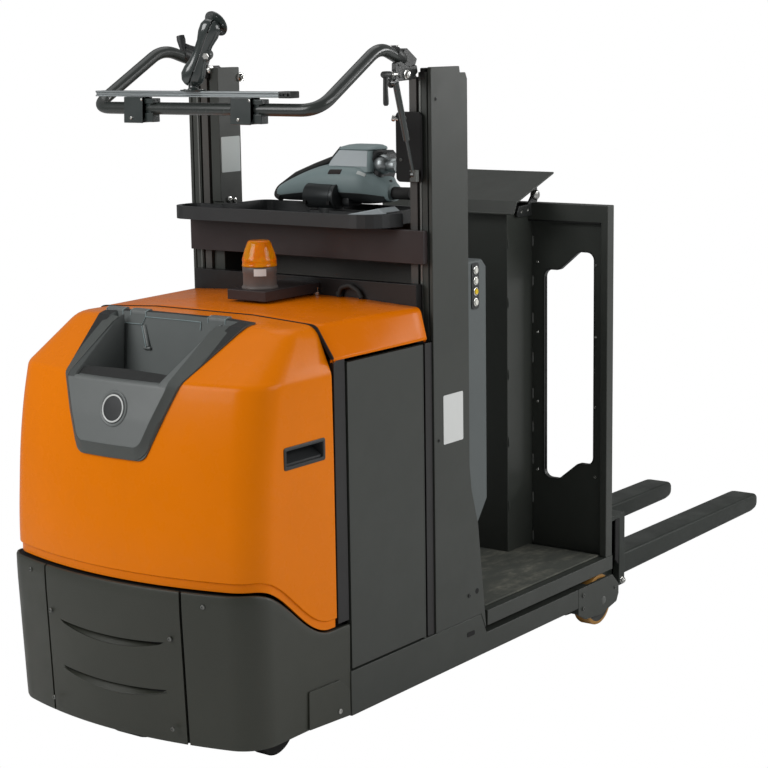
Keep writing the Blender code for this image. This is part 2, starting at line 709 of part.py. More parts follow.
def legs(frame):
    """Support legs with a step under the platform, and the pockets that hold the load wheels."""
    step = LEG_STEP_X
    outline = [
        (LEG_FRONT_X, LEG_BOTTOM_Z), (LEG_END_X, LEG_BOTTOM_Z), (LEG_END_X, LEG_LOW_TOP_Z),
        (step, LEG_LOW_TOP_Z), (step - LEG_SLOPE, LEG_TOP_Z), (LEG_FRONT_X, LEG_TOP_Z),
    ]
    cheek = [
        (LEG_END_X + SEAT, BRACKET_BOTTOM_Z + 0.030), (LEG_END_X + 0.045, BRACKET_BOTTOM_Z + 0.006),
        (LOAD_WHEEL_X - 0.010, BRACKET_BOTTOM_Z), (BRACKET_END_X - 0.012, BRACKET_BOTTOM_Z + 0.018),
        (BRACKET_END_X, BRACKET_BOTTOM_Z + 0.040), (BRACKET_END_X, LEG_LOW_TOP_Z - 0.036),
        (BRACKET_END_X - 0.038, LEG_LOW_TOP_Z), (LEG_END_X + SEAT, LEG_LOW_TOP_Z),
    ]
    for name, side in (("near", -1), ("far", 1)):
        beam = prism("Y", outline, *span(side, HALF - LEG_WIDTH, HALF))
        solid(f"leg_{name}", "dark_grey_paint", beam, frame)
        outer = prism("Y", cheek, *span(side, HALF - BRACKET_PLATE, HALF))
        inner_y = wheel_centre_y() - LOAD_WHEEL_WIDTH / 2 - 0.006
        inner = prism("Y", cheek, *span(side, inner_y - BRACKET_PLATE, inner_y))
        root = box((LEG_END_X + SEAT, LOAD_WHEEL_X - LOAD_WHEEL_R - 0.006),
                   span(side, inner_y - 0.002, HALF - 0.002), (BRACKET_BOTTOM_Z + 0.030, LEG_LOW_TOP_Z))
        pin = rod((LOAD_WHEEL_X, side * (inner_y - 0.004), LOAD_WHEEL_R),
                  (LOAD_WHEEL_X, side * (HALF - 0.003), LOAD_WHEEL_R), AXLE_R)
        solid(f"wheel_bracket_{name}", "dark_grey_paint", outer, frame, add=[inner, root, pin])


def wheel_centre_y():
    return HALF - BRACKET_PLATE - 0.006 - LOAD_WHEEL_WIDTH / 2


def ring(centre, radius, bore, width, axis="Y", shoulder=0.004):
    """A wheel with a bore and rounded shoulders, as one turned body."""
    half = width / 2
    outer = turned(centre, [(radius - shoulder, -half), (radius, -half + shoulder),
                            (radius, half - shoulder), (radius - shoulder, half)], axis, 48)
    start = Vector(centre)
    reach = Vector((0, half + OVERCUT, 0))
    return outer, rod(start - reach, start + reach, bore, segments=24)


def load_wheels(frames):
    for name in ("near", "far"):
        outer, bore = ring(frames[name].pivot, LOAD_WHEEL_R, AXLE_R + 0.001, LOAD_WHEEL_WIDTH)
        solid(f"load_wheel_{name}", "amber_tread", outer, frames[name], cut=[bore])


def posts(frame):
    """Fixed mast posts: a side plate with a gusset foot, and a guide channel welded inside it."""
    plate = [
        (0.0, LEG_TOP_Z + SEAT), (LEG_STEP_X - LEG_SLOPE + 0.0005, LEG_TOP_Z + SEAT),
        (LEG_STEP_X - 0.006, LEG_LOW_TOP_Z + 0.016), (GUSSET_REACH, LEG_LOW_TOP_Z + 0.016),
        (0.198, 0.447), (0.169, 0.543), (POST_DEPTH, GUSSET_TOP_Z + 0.05),
        (POST_DEPTH, POST_TOP_Z - 2 * POST_NOTCH), (POST_DEPTH - POST_NOTCH / 2, POST_TOP_Z - POST_NOTCH),
        (POST_DEPTH - 2 * POST_NOTCH, POST_TOP_Z - POST_NOTCH), (POST_DEPTH - 2.2 * POST_NOTCH, POST_TOP_Z),
        (0.0, POST_TOP_Z),
    ]
    web = HALF - POST_PLATE - 0.003
    lip = web - POST_CHANNEL_WIDTH
    flange = POST_FLANGE
    channel = [
        (0.0, -web), (0.030, -web), (0.030, -web - 0.005), (0.098, -web - 0.005), (0.098, -web),
        (POST_CHANNEL_DEPTH, -web), (POST_CHANNEL_DEPTH, -lip), (POST_CHANNEL_DEPTH - flange, -lip),
        (POST_CHANNEL_DEPTH - flange, -web + 0.008), (flange, -web + 0.008), (flange, -lip), (0.0, -lip),
    ]
    for name, side in (("near", -1), ("far", 1)):
        guide = prism("Z", mirrored(channel, side), LEG_TOP_Z + SEAT, POST_TOP_Z - 0.012)
        side_plate = prism("Y", plate, *span(side, HALF - POST_PLATE, HALF))
        solid(f"mast_post_{name}", "dark_grey_paint", side_plate, frame, add=[guide])


def crossmember(frame):
    """The tie between the fixed posts, stood off from the moving uprights behind it."""
    bar = box((-CROSS_DEPTH - RUN, -RUN), (-CROSS_HALF, CROSS_HALF), (CROSS_BOTTOM_Z, CROSS_TOP_Z))
    pads = []
    for side in (-1, 1):
        pads.append(box((-RUN - 0.002, -SEAT), span(side, CROSS_HALF - 0.024, CROSS_HALF - 0.002),
                        (CROSS_BOTTOM_Z + 0.010, CROSS_TOP_Z - 0.010)))
    solid("crossmember", "brown_black_paint", bar, frame, add=pads, bevel=0.003)


def beacon(frame):
    shelf_top = BEACON_SHELF_Z + BEACON_SHELF_HEIGHT
    shelf = box((BEACON_SHELF_FRONT_X, -MAST_SHEET - RUN - SEAT), (-BEACON_SHELF_HALF, BEACON_SHELF_HALF),
                (BEACON_SHELF_Z, shelf_top))
    hollow = box((BEACON_SHELF_FRONT_X + 0.004, -MAST_SHEET - RUN - 0.004),
                 (-BEACON_SHELF_HALF + 0.004, BEACON_SHELF_HALF - 0.004),
                 (BEACON_SHELF_Z - OVERCUT, shelf_top - 0.004))
    solid("beacon_bracket", "brown_black_paint", shelf, frame, cut=[hollow])
    centre = (BEACON_X, 0.0, shelf_top + SEAT)
    solid("beacon_base", "black_plastic",
          turned(centre, [(BEACON_BASE_R, 0.0), (BEACON_BASE_R, BEACON_BASE_HEIGHT)]), frame)
    top = (BEACON_X, 0.0, centre[2] + BEACON_BASE_HEIGHT + SEAT)
    lens_r = BEACON_BASE_R + 0.001
    profile = [(lens_r, 0.0), (lens_r, BEACON_LENS_HEIGHT * 0.35), (BEACON_LENS_TOP_R + 0.006, 0.060),
               (BEACON_LENS_TOP_R, BEACON_LENS_HEIGHT)]
    solid("beacon_lens", "amber_lens", turned(top, profile), frame)


def drive(frame, steer, roll):
    """Upright motor on the deck, a turning gear case beneath it and the driven wheel."""
    axis = (DRIVE_X, DRIVE_Y, 0.0)
    deck_top = DECK_Z + DECK_SHEET
    solid("drive_motor", "cast_grey",
          turned((axis[0], axis[1], deck_top + SEAT),
                 [(MOTOR_R, 0.0), (MOTOR_R, MOTOR_HEIGHT), (MOTOR_R * 0.7, MOTOR_HEIGHT + 0.02)]), frame)
    plate_low = 2 * DRIVE_WHEEL_R + 0.010
    turntable = turned((axis[0], axis[1], plate_low), [(0.105, 0.0), (0.105, DECK_Z - SEAT - plate_low)])
    case_y = DRIVE_Y + DRIVE_WHEEL_WIDTH / 2 + 0.008
    case = box((DRIVE_X - 0.050, DRIVE_X + 0.050), (case_y, case_y + 0.050), (0.050, plate_low + 0.01))
    stub = rod((DRIVE_X, DRIVE_Y - 0.030, DRIVE_WHEEL_R), (DRIVE_X, case_y + 0.01, DRIVE_WHEEL_R), 0.025)
    solid("steer_yoke", "cast_grey", turntable, steer, add=[case, stub])
    outer, bore = ring(roll.pivot, DRIVE_WHEEL_R, 0.026, DRIVE_WHEEL_WIDTH)
    solid("drive_wheel", "black_rubber", outer, roll, cut=[bore])


def castor(swivel, roll):
    plate_low = 2 * CASTOR_R + 0.012
    top = turned((CASTOR_X, CASTOR_Y, plate_low), [(0.045, 0.0), (0.045, 0.012), (0.025, 0.014),
                                                   (0.025, DECK_Z - SEAT - plate_low)])
    wheel_x = CASTOR_X + CASTOR_TRAIL
    cheeks = []
    cheek = [(CASTOR_X - 0.030, plate_low + 0.010), (CASTOR_X + 0.035, plate_low + 0.010),
             (wheel_x + 0.018, CASTOR_R - 0.016), (wheel_x - 0.018, CASTOR_R - 0.016)]
    for side in (-1, 1):
        inner = CASTOR_Y + side * (CASTOR_WIDTH / 2 + 0.005)
        cheeks.append(prism("Y", cheek, min(inner, inner + side * 0.006), max(inner, inner + side * 0.006)))
    reach = CASTOR_WIDTH / 2 + 0.008
    pin = rod((wheel_x, CASTOR_Y - reach, CASTOR_R), (wheel_x, CASTOR_Y + reach, CASTOR_R), 0.008)
    solid("castor_fork", "cast_grey", top, swivel, add=cheeks + [pin])
    outer, bore = ring(roll.pivot, CASTOR_R, 0.009, CASTOR_WIDTH)
    solid("castor_wheel", "black_rubber", outer, roll, cut=[bore])


def upright_inner():
    """Distance from the centreline to the inner face of a moving upright."""
    lip = HALF - POST_PLATE - 0.003 - POST_CHANNEL_WIDTH
    return lip - RUN - UPRIGHT_WIDTH


def carriage_frame(frame):
    """Moving uprights with guide rollers in the fixed channels, joined by a back sheet."""
    inner = upright_inner()
    outer = inner + UPRIGHT_WIDTH
    near = box((0.0, UPRIGHT_DEPTH), span(-1, inner, outer), (UPRIGHT_BOTTOM_Z, UPRIGHT_TOP_Z))
    far = box((0.0, UPRIGHT_DEPTH), span(1, inner, outer), (UPRIGHT_BOTTOM_Z, UPRIGHT_TOP_Z))
    sheet = box((UPRIGHT_DEPTH - BACK_SHEET, UPRIGHT_DEPTH), (-inner - 0.002, inner + 0.002),
                (PLATFORM_BOTTOM_Z, BACK_TOP_Z))
    rollers = []
    centre_x = POST_CHANNEL_DEPTH / 2
    for side in (-1, 1):
        for level in (ROLLER_LOW_Z, ROLLER_HIGH_Z):
            rollers.append(rod((centre_x, side * (outer - 0.002), level),
                               (centre_x, side * (outer + ROLLER_WIDTH), level), ROLLER_R, segments=20))
    solid("carriage_frame", "black_paint", near, frame, add=[far, sheet] + rollers)


def label_post(frame):
    outer = LABEL_POST_OUTER_Y
    across = (outer - LABEL_POST_WIDTH, outer)
    upper = box((-0.008, LABEL_POST_DEPTH), across, (TRAY_BOTTOM_Z + 0.04, POST_TOP_Z))
    lower = box((0.0, LABEL_POST_DEPTH), across, (LABEL_POST_BOTTOM_Z, TRAY_BOTTOM_Z + 0.05))
    tab = box((0.010, 0.060), (outer - 0.005, upright_inner() - SEAT),
              (LABEL_POST_BOTTOM_Z + 0.05, UPRIGHT_TOP_Z - 0.05))
    yoke_room = box((-LABEL_POST_DEPTH, LABEL_POST_DEPTH + OVERCUT), (BAR_Y - BLOCK_HALF - 0.010, HALF),
                    (UPRIGHT_TOP_Z - 0.003, POST_TOP_Z + OVERCUT))
    solid("label_post", "dark_grey_paint", upper, frame, add=[lower, tab], cut=[yoke_room])


def tray_outline(inset):
    """The tray's plan: a front shelf with round ends, and a tongue between the uprights."""
    inner = upright_inner() - SEAT - 0.002
    front, far, near = TRAY_FRONT_X + inset, TRAY_FAR_Y - inset, TRAY_NEAR_Y + inset
    back = -SEAT - inset
    slot = LABEL_POST_OUTER_Y - LABEL_POST_WIDTH - SEAT - inset
    tongue_rear, post_front = TRAY_REAR_X - inset, back - 0.0085
    return rounded([
        (front, near + 0.020, 0.085), (back, near - 0.010 + inset, 0.004), (back, -slot + 0.010, 0.0),
        (tongue_rear, -slot + 0.010, 0.030), (tongue_rear, slot, 0.030), (post_front, slot, 0.0),
        (post_front, inner, 0.0), (back, inner, 0.0), (back, far, 0.030), (front, far, 0.050),
    ], 0.0, 5)


def tray(frame):
    hollow = prism("Z", tray_outline(TRAY_RIM), TRAY_BOTTOM_Z + TRAY_FLOOR, TRAY_BOTTOM_Z + 0.2)
    solid("console_tray", "black_plastic",
          prism("Z", tray_outline(0.0), TRAY_BOTTOM_Z, TRAY_BOTTOM_Z + TRAY_RIM_HEIGHT), frame, cut=[hollow])


def console_housing(frame):
    front = UPRIGHT_DEPTH + SEAT
    outline = [
        (front, HOUSING_FOOT_Z), (HOUSING_FOOT_X, HOUSING_FOOT_Z), (HOUSING_REAR_X, HOUSING_LOW_Z),
        (HOUSING_REAR_X, HOUSING_TOP_Z - 0.02), (HOUSING_REAR_X - 0.02, HOUSING_TOP_Z),
        (front, HOUSING_TOP_Z),
    ]
    shell = prism("Y", outline, -HOUSING_HALF, HOUSING_HALF)
    solid("console_housing", "grey_plastic", shell, frame, bevel=0.006)
    strip_y = -HOUSING_HALF - SEAT
    length = BUTTON_PITCH * BUTTON_COUNT
    strip = box((BUTTON_X - 0.014, BUTTON_X + 0.014), (strip_y - 0.002, strip_y),
                (BUTTON_TOP_Z + BUTTON_PITCH / 2 - length, BUTTON_TOP_Z + BUTTON_PITCH / 2))
    buttons = []
    for index in range(BUTTON_COUNT):
        level = BUTTON_TOP_Z - index * BUTTON_PITCH
        buttons.append(rod((BUTTON_X, strip_y - 0.001, level), (BUTTON_X, strip_y - 0.007, level), BUTTON_R,
                           segments=20))
    solid("button_strip", "black_plastic", strip, frame, add=buttons)


def platform(frame):
    """Floor frame on the carriage, a rubber mat, and the cage's rear wall."""
    floor = box((PLATFORM_FRONT_X, PLATFORM_REAR_X), (-HALF, HALF), (PLATFORM_BOTTOM_Z, PLATFORM_TOP_Z))
    tongue = box((UPRIGHT_DEPTH + SEAT, PLATFORM_FRONT_X + 0.01), (-TONGUE_HALF, TONGUE_HALF),
                 (PLATFORM_BOTTOM_Z, PLATFORM_TOP_Z))
    under = box((PLATFORM_FRONT_X + PLATFORM_RAIL, PLATFORM_REAR_X - PLATFORM_RAIL),
                (-HALF + PLATFORM_RAIL, HALF - PLATFORM_RAIL),
                (PLATFORM_BOTTOM_Z - OVERCUT, PLATFORM_TOP_Z - PLATFORM_SHEET))
    solid("platform_floor", "dark_grey_paint", floor, frame, add=[tongue], cut=[under])
    mat_x = (PLATFORM_FRONT_X + MAT_MARGIN, BOX_FRONT_X - SEAT)
    mat_z = (PLATFORM_TOP_Z + SEAT, PLATFORM_TOP_Z + MAT_THICKNESS)
    mat = box(mat_x, (-HALF + MAT_MARGIN, HALF - MAT_MARGIN), mat_z)
    wings = []
    for side in (-1, 1):
        wings.append(box((BOX_FRONT_X - 0.01, WALL_FRONT_X - SEAT),
                         span(side, BOX_HALF + SEAT, HALF - MAT_MARGIN), mat_z))
    solid("floor_mat", "black_rubber", mat, frame, add=wings)


def window_outline(side):
    inner, outer = WINDOW_INNER_Y, WINDOW_OUTER_Y
    middle = (inner + outer) / 2
    third = (outer - inner) / 5
    corners = [
        (inner, WINDOW_LOW_INNER_Z), (middle - third, WINDOW_LOW_INNER_Z),
        (middle + third, WINDOW_LOW_OUTER_Z), (outer, WINDOW_LOW_OUTER_Z),
        (outer, WINDOW_TOP_OUTER_Z), (middle + third, WINDOW_TOP_OUTER_Z),
        (middle - third, WINDOW_TOP_INNER_Z), (inner, WINDOW_TOP_INNER_Z),
    ]
    return [(side * y, z) for y, z in rounded(corners, WINDOW_CORNER)]


def rear_wall(frame):
    """A sheet with two shaped windows inside a folded rim."""
    base = PLATFORM_TOP_Z + SEAT
    frame_box = box((WALL_FRONT_X, WALL_REAR_X), (-HALF, HALF), (base, WALL_TOP_Z))
    recess = box((WALL_FRONT_X - OVERCUT, WALL_REAR_X - WALL_SHEET), (-HALF + WALL_RIM, HALF - WALL_RIM),
                 (base - OVERCUT, WALL_TOP_Z - WALL_TOP_RIM))
    through = (WALL_FRONT_X - OVERCUT, WALL_REAR_X + OVERCUT)
    windows = [prism("X", window_outline(side), *through) for side in (-1, 1)]
    solid("rear_wall", "dark_grey_paint", frame_box, frame, cut=[recess] + windows)
    box_rear = WALL_REAR_X - WALL_SHEET - SEAT
    under_rim = WALL_TOP_Z - WALL_TOP_RIM - SEAT
    column = box((BOX_FRONT_X, box_rear), (-BOX_HALF, BOX_HALF), (base, under_rim))
    head = box((BOX_FRONT_X, WALL_FRONT_X - SEAT), (-BOX_HALF, BOX_HALF), (under_rim - OVERCUT, BOX_TOP_Z))
    solid("centre_box", "dark_grey_paint", column, frame, add=[head])


def desk(frame):
    """A tilted writing plate with a folded front lip on two brackets."""
    fold_x = DESK_FRONT_X + 0.005
    slope = (DESK_REAR_Z - DESK_FRONT_Z) / (DESK_REAR_X - fold_x)
    outline = [
        (DESK_FRONT_X - 0.014, DESK_FRONT_Z - DESK_LIP), (DESK_FRONT_X - 0.009, DESK_FRONT_Z - DESK_LIP),
        (fold_x, DESK_FRONT_Z - DESK_SHEET), (DESK_REAR_X, DESK_REAR_Z - DESK_SHEET),
        (DESK_REAR_X, DESK_REAR_Z), (DESK_FRONT_X, DESK_FRONT_Z),
    ]
    solid("desk_plate", "dark_grey_paint", prism("Y", outline, -DESK_HALF, DESK_HALF), frame)

    def under(x):
        return DESK_FRONT_Z - DESK_SHEET + slope * (x - fold_x) - SEAT
    low_x, high_x = BOX_FRONT_X + 0.010, WALL_FRONT_X - 0.010
    arm = [
        (low_x, BOX_TOP_Z + SEAT), (high_x, BOX_TOP_Z + SEAT), (high_x, under(high_x)), (low_x, under(low_x)),
    ]
    arms = [prism("Y", arm, *span(side, BOX_HALF - 0.035, BOX_HALF - 0.025)) for side in (-1, 1)]
    base = box((low_x, high_x), (-BOX_HALF + 0.020, BOX_HALF - 0.020), (BOX_TOP_Z + SEAT, BOX_TOP_Z + 0.008))
    solid("desk_bracket", "black_paint", base, frame, add=arms)


def fork_carriage(frame):
    """Box frame behind the cage wall, with a thick plate that the forks are welded to."""
    front = PLATFORM_REAR_X + SEAT
    rear, plate = FORK_FRAME_REAR_X, FORK_FRAME_PLATE
    across = (-FORK_FRAME_HALF, FORK_FRAME_HALF)
    face = box((rear - plate, rear), across, (FORK_FRAME_BOTTOM_Z, FORK_FRAME_TOP_Z))
    top = box((front, rear - 0.005), across, (FORK_FRAME_TOP_Z - FORK_FRAME_SHEET, FORK_FRAME_TOP_Z))
    back = box((front, front + FORK_FRAME_SHEET), across, (PLATFORM_BOTTOM_Z, FORK_FRAME_TOP_Z))
    ribs = []
    rib = [(front + 0.005, PLATFORM_BOTTOM_Z), (rear - plate + 0.005, FORK_FRAME_BOTTOM_Z),
           (rear - plate + 0.005, FORK_FRAME_TOP_Z - 0.005), (front + 0.005, FORK_FRAME_TOP_Z - 0.005)]
    for side in (-1, 1):
        ribs.append(prism("Y", rib, *span(side, FORK_FRAME_HALF - 0.040, FORK_FRAME_HALF - 0.028)))
        ribs.append(prism("Y", rib, *span(side, 0.060, 0.072)))
    solid("fork_carriage", "dark_grey_paint", face, frame, add=[top, back] + ribs)


def forks(frame):
    """Tapered fork blades with round tips."""
    heel = FORK_FRAME_REAR_X + SEAT
    side_view = [
        (heel, FORK_HEEL_Z), (heel + 0.62, FORK_HEEL_Z + 0.008), (FORK_TIP_X - 0.040, FORK_TIP_Z - 0.004),
        (FORK_TIP_X, FORK_TIP_Z + 0.008), (FORK_TIP_X, FORK_TOP_Z - 0.012), (FORK_TIP_X - 0.020, FORK_TOP_Z),
        (heel, FORK_TOP_Z),
    ]
    middle = FORK_OUTER_Y - FORK_WIDTH / 2
    for name, side in (("near", -1), ("far", 1)):
        radius = FORK_WIDTH / 2
        tip = arc((FORK_TIP_X - radius, side * middle), radius, -90, 90, 10)
        plan = [(heel - 0.1, side * middle - radius)] + tip + [(heel - 0.1, side * middle + radius)]
        solid(f"fork_{name}", "dark_grey_paint", prism("Y", side_view, *span(side, 0.05, 0.30)), frame,
              keep=[prism("Z", plan, 0.0, 0.2)])


def bar_points():
    half = [
        (BAR_PIVOT_X + 0.006, BAR_Y, BAR_PIVOT_Z + 0.020), (BAR_PEAK_X, BAR_PEAK_Y, BAR_PEAK_Z),
        (BAR_CROSS_X, BAR_CROSS_Y, BAR_CROSS_Z),
    ]
    return [(x, -y, z) for x, y, z in half] + list(reversed(half))


def equipment_bar(frame):
    """A bent tube with a clamp block on a pivot hub at each end, and the strut's arm on the near side."""
    x, z = BAR_PIVOT_X, BAR_PIVOT_Z
    block = [(x - 0.040, z + 0.022), (x - 0.012, z - 0.004), (x + 0.012, z - 0.004), (x + 0.030, z + 0.018),
             (x + 0.010, z + 0.045), (x - 0.018, z + 0.050)]
    arm = [(x + 0.004, z - 0.010), (x + 0.004, z + 0.014), (BAR_EYE_X - 0.016, z + 0.006),
           (BAR_EYE_X - 0.016, BAR_EYE_Z - 0.014), (BAR_EYE_X + 0.014, BAR_EYE_Z - 0.014)]
    adds = []
    for side in (-1, 1):
        adds.append(prism("Y", block, *span(side, BAR_Y - BLOCK_HALF, BAR_Y + BLOCK_HALF)))
        adds.append(rod((x, side * (BAR_Y - BLOCK_HALF), z), (x, side * (BAR_Y + BLOCK_HALF), z), HUB_R))
    adds.append(prism("Y", arm, *span(-1, BAR_Y + BLOCK_HALF - 0.002, BAR_Y + BLOCK_HALF + 0.004)))
    solid("equipment_bar", "dark_grey_paint", tube(bent_path(bar_points(), BAR_BEND), BAR_R), frame, add=adds)


def bar_yokes(frame):
    """Brackets on top of the uprights, each with an ear inside the bar's pivot hub."""
    inner = upright_inner()
    base = UPRIGHT_TOP_Z + SEAT
    ear_y = BAR_Y - BLOCK_HALF - SEAT
    for name, side in (("near", -1), ("far", 1)):
        ear = [(BAR_PIVOT_X - 0.018, base), (BAR_PIVOT_X + 0.060, base),
               (BAR_PIVOT_X + 0.045, BAR_PIVOT_Z + 0.010), (BAR_PIVOT_X - 0.018, BAR_PIVOT_Z + 0.010)]
        foot = box((0.002, 0.055), span(side, ear_y - 0.004, inner + UPRIGHT_WIDTH - 0.002),
                   (base, base + 0.003))
        solid(f"bar_yoke_{name}", "black_paint", prism("Y", ear, *span(side, ear_y - 0.007, ear_y)), frame,
              add=[foot])


def strut_plate(frame):
    """The black plate on the near upright that carries the gas strut's foot."""
    outer, inner = -STRUT_Y - 0.008, -STRUT_Y + 0.070
    low, high = STRUT_FOOT_Z - 0.021, STRUT_FOOT_Z + 0.152
    outline = rounded([(outer, low), (inner, low), (inner, high), (outer, high)], 0.012)
    plate = prism("X", outline, -RUN - 0.007, -RUN + 0.0005)
    upright = upright_inner()
    pad = box((-RUN, -SEAT), span(-1, upright + 0.002, upright + UPRIGHT_WIDTH - 0.002),
              (low + 0.028, high - 0.025))
    lug = box((STRUT_FOOT_X - 0.008, -RUN - 0.004), (-STRUT_Y + 0.004, -STRUT_Y + 0.010),
              (STRUT_FOOT_Z - 0.008, STRUT_FOOT_Z + 0.008))
    solid("strut_plate", "black_paint", plate, frame, add=[pad, lug])


def gas_strut(tube_frame, rod_frame):
    """Tube hung from the bar's eye, and a thin rod that slides out of it to the foot lug."""
    eye = Vector((BAR_EYE_X, -STRUT_Y, BAR_EYE_Z))
    foot = Vector((STRUT_FOOT_X, -STRUT_Y, STRUT_FOOT_Z))
    along = (foot - eye).normalized()
    length = (foot - eye).length
    tube_end = eye + along * length * STRUT_TUBE_SHARE
    across = Vector((0, 1, 0))
    boss = rod(eye - across * 0.004, eye + across * (STRUT_Y - BAR_Y - BLOCK_HALF - 0.004 - SEAT), 0.009)
    bore = rod(eye + along * 0.012, tube_end + along * OVERCUT, STRUT_ROD_R + 0.0006)
    solid("strut_tube", "black_paint", rod(eye, tube_end, STRUT_TUBE_R), tube_frame, add=[boss], cut=[bore])
    eye_disc = rod(foot - across * 0.004, foot + across * (0.004 - SEAT), 0.008)
    shaft = rod(tube_end - along * STRUT_INSERT, foot, STRUT_ROD_R, segments=16)
    solid("strut_rod", "bare_steel", shaft, rod_frame, add=[eye_disc])


def accessory_rail(frame):
    """A flat rail on two saddle clamps round the crossbar."""
    x_mid = BAR_CROSS_X - 0.010
    rail = box((x_mid - RAIL_DEPTH / 2, x_mid + RAIL_DEPTH / 2), (RAIL_NEAR_Y, RAIL_FAR_Y),
               (RAIL_Z - RAIL_HEIGHT / 2, RAIL_Z + RAIL_HEIGHT / 2))
    clamps = []
    for middle in CLAMP_Y:
        across = (middle - CLAMP_WIDTH / 2, middle + CLAMP_WIDTH / 2)
        clamps.append(box((BAR_CROSS_X - 0.024, BAR_CROSS_X + 0.022), across, (BAR_CROSS_Z - 0.024, RAIL_Z)))
    hole = rod((BAR_CROSS_X, -HALF, BAR_CROSS_Z), (BAR_CROSS_X, HALF, BAR_CROSS_Z), BAR_R + SEAT, segments=32)
    solid("accessory_rail", "bare_steel", rail, frame, add=clamps, cut=[hole])


def mount_arm(frame):
    """A double-ball arm with a round plate, standing on the rail."""
    base_z = RAIL_Z + RAIL_HEIGHT / 2 + SEAT
    base = Vector((BAR_CROSS_X - 0.010, MOUNT_Y, base_z))
    low = base + Vector((0, 0, 0.022))
    high = low + Vector((0.030, -0.050, 0.128))
    face = Vector((0.45, -0.25, 0.86)).normalized()
    along = (high - low).normalized()
    middle = (low + high) / 2
    handle = middle + Vector((-0.040, 0.045, 0.008))
    parts = [
        rod(base + Vector((0, 0, 0.004)), low, 0.010),
        rod(low - along * 0.010, high + along * 0.010, 0.017),
        rod(high, high + face * 0.018, 0.009),
        rod(high + face * 0.016, high + face * 0.022, MOUNT_PLATE_R),
        rod(middle, handle, 0.006),
        rod(handle + Vector((0.004, -0.005, -0.004)), handle + Vector((0, 0, 0.026)), 0.009),
    ]
    solid("mount_arm", "black_paint", rod(base, base + Vector((0, 0, 0.006)), 0.033), frame, add=parts)


# Each row is y, middle height, half height, middle x, half depth
HEAD_ROWS = (
    (0.166, 1.306, 0.010, 0.105, 0.018),
    (0.150, 1.308, 0.020, 0.108, 0.038),
    (0.080, 1.326, 0.040, 0.118, 0.066),
    (0.000, 1.352, 0.070, 0.122, 0.082),
    (-0.085, 1.360, 0.080, 0.122, 0.084),
    (-0.140, 1.342, 0.058, 0.118, 0.070),
    (-0.203, 1.318, 0.022, 0.108, 0.030),
)


def steering_console(frame, turning):
    """A low base with a turntable, and the turning head with its roll, ball and right-hand grip."""
    base_z = TRAY_BOTTOM_Z + TRAY_FLOOR + SEAT
    head_low = HEAD_BOTTOM_Z
    near_end = -HALF + 0.170
    outline = rounded([(HEAD_X - 0.080, near_end), (HEAD_X - 0.020, near_end),
                       (HEAD_X - 0.020, HEAD_Y + 0.060), (HEAD_X - 0.080, HEAD_Y + 0.060)], 0.014)
    foot = prism("Z", outline, base_z, base_z + 0.020)
    post_x = HEAD_X - 0.050
    column = turned((post_x, HEAD_Y, base_z), [(0.034, 0.0), (0.034, head_low - SEAT - base_z)])
    solid("console_base", "light_grey_plastic", foot, frame, add=[column])
    rings = []
    for y, z_mid, z_half, x_mid, x_half in HEAD_ROWS:
        ring_points = []
        for step in range(HEAD_SIDES):
            angle = 2 * math.pi * step / HEAD_SIDES
            reach_x, reach_z = math.cos(angle), math.sin(angle)
            ring_points.append((x_mid + x_half * math.copysign(abs(reach_x) ** 0.8, reach_x), y,
                                z_mid + z_half * math.copysign(abs(reach_z) ** 0.8, reach_z)))
        rings.append(ring_points)
    roll = rod((0.048, 0.047, 1.308), (0.048, -0.078, 1.308), 0.027, segments=24)
    hub = turned((post_x, HEAD_Y, head_low), [(0.032, 0.0), (0.032, 0.040)])
    ball = rod((0.110, -0.105, 1.384), (0.100, -0.162, 1.388), 0.022, 0.026)
    stalk = rod((0.100, -0.155, 1.388), (0.092, -0.215, 1.382), 0.013)
    solid("steering_head", "grey_plastic", loft(rings), turning, add=[roll, hub, ball, stalk])
    last = HEAD_ROWS[-1]
    solid("steering_grip", "black_rubber",
          rod((last[3], last[0] - SEAT, last[1]), (last[3], -0.253, last[1]), 0.017, 0.019), turning)


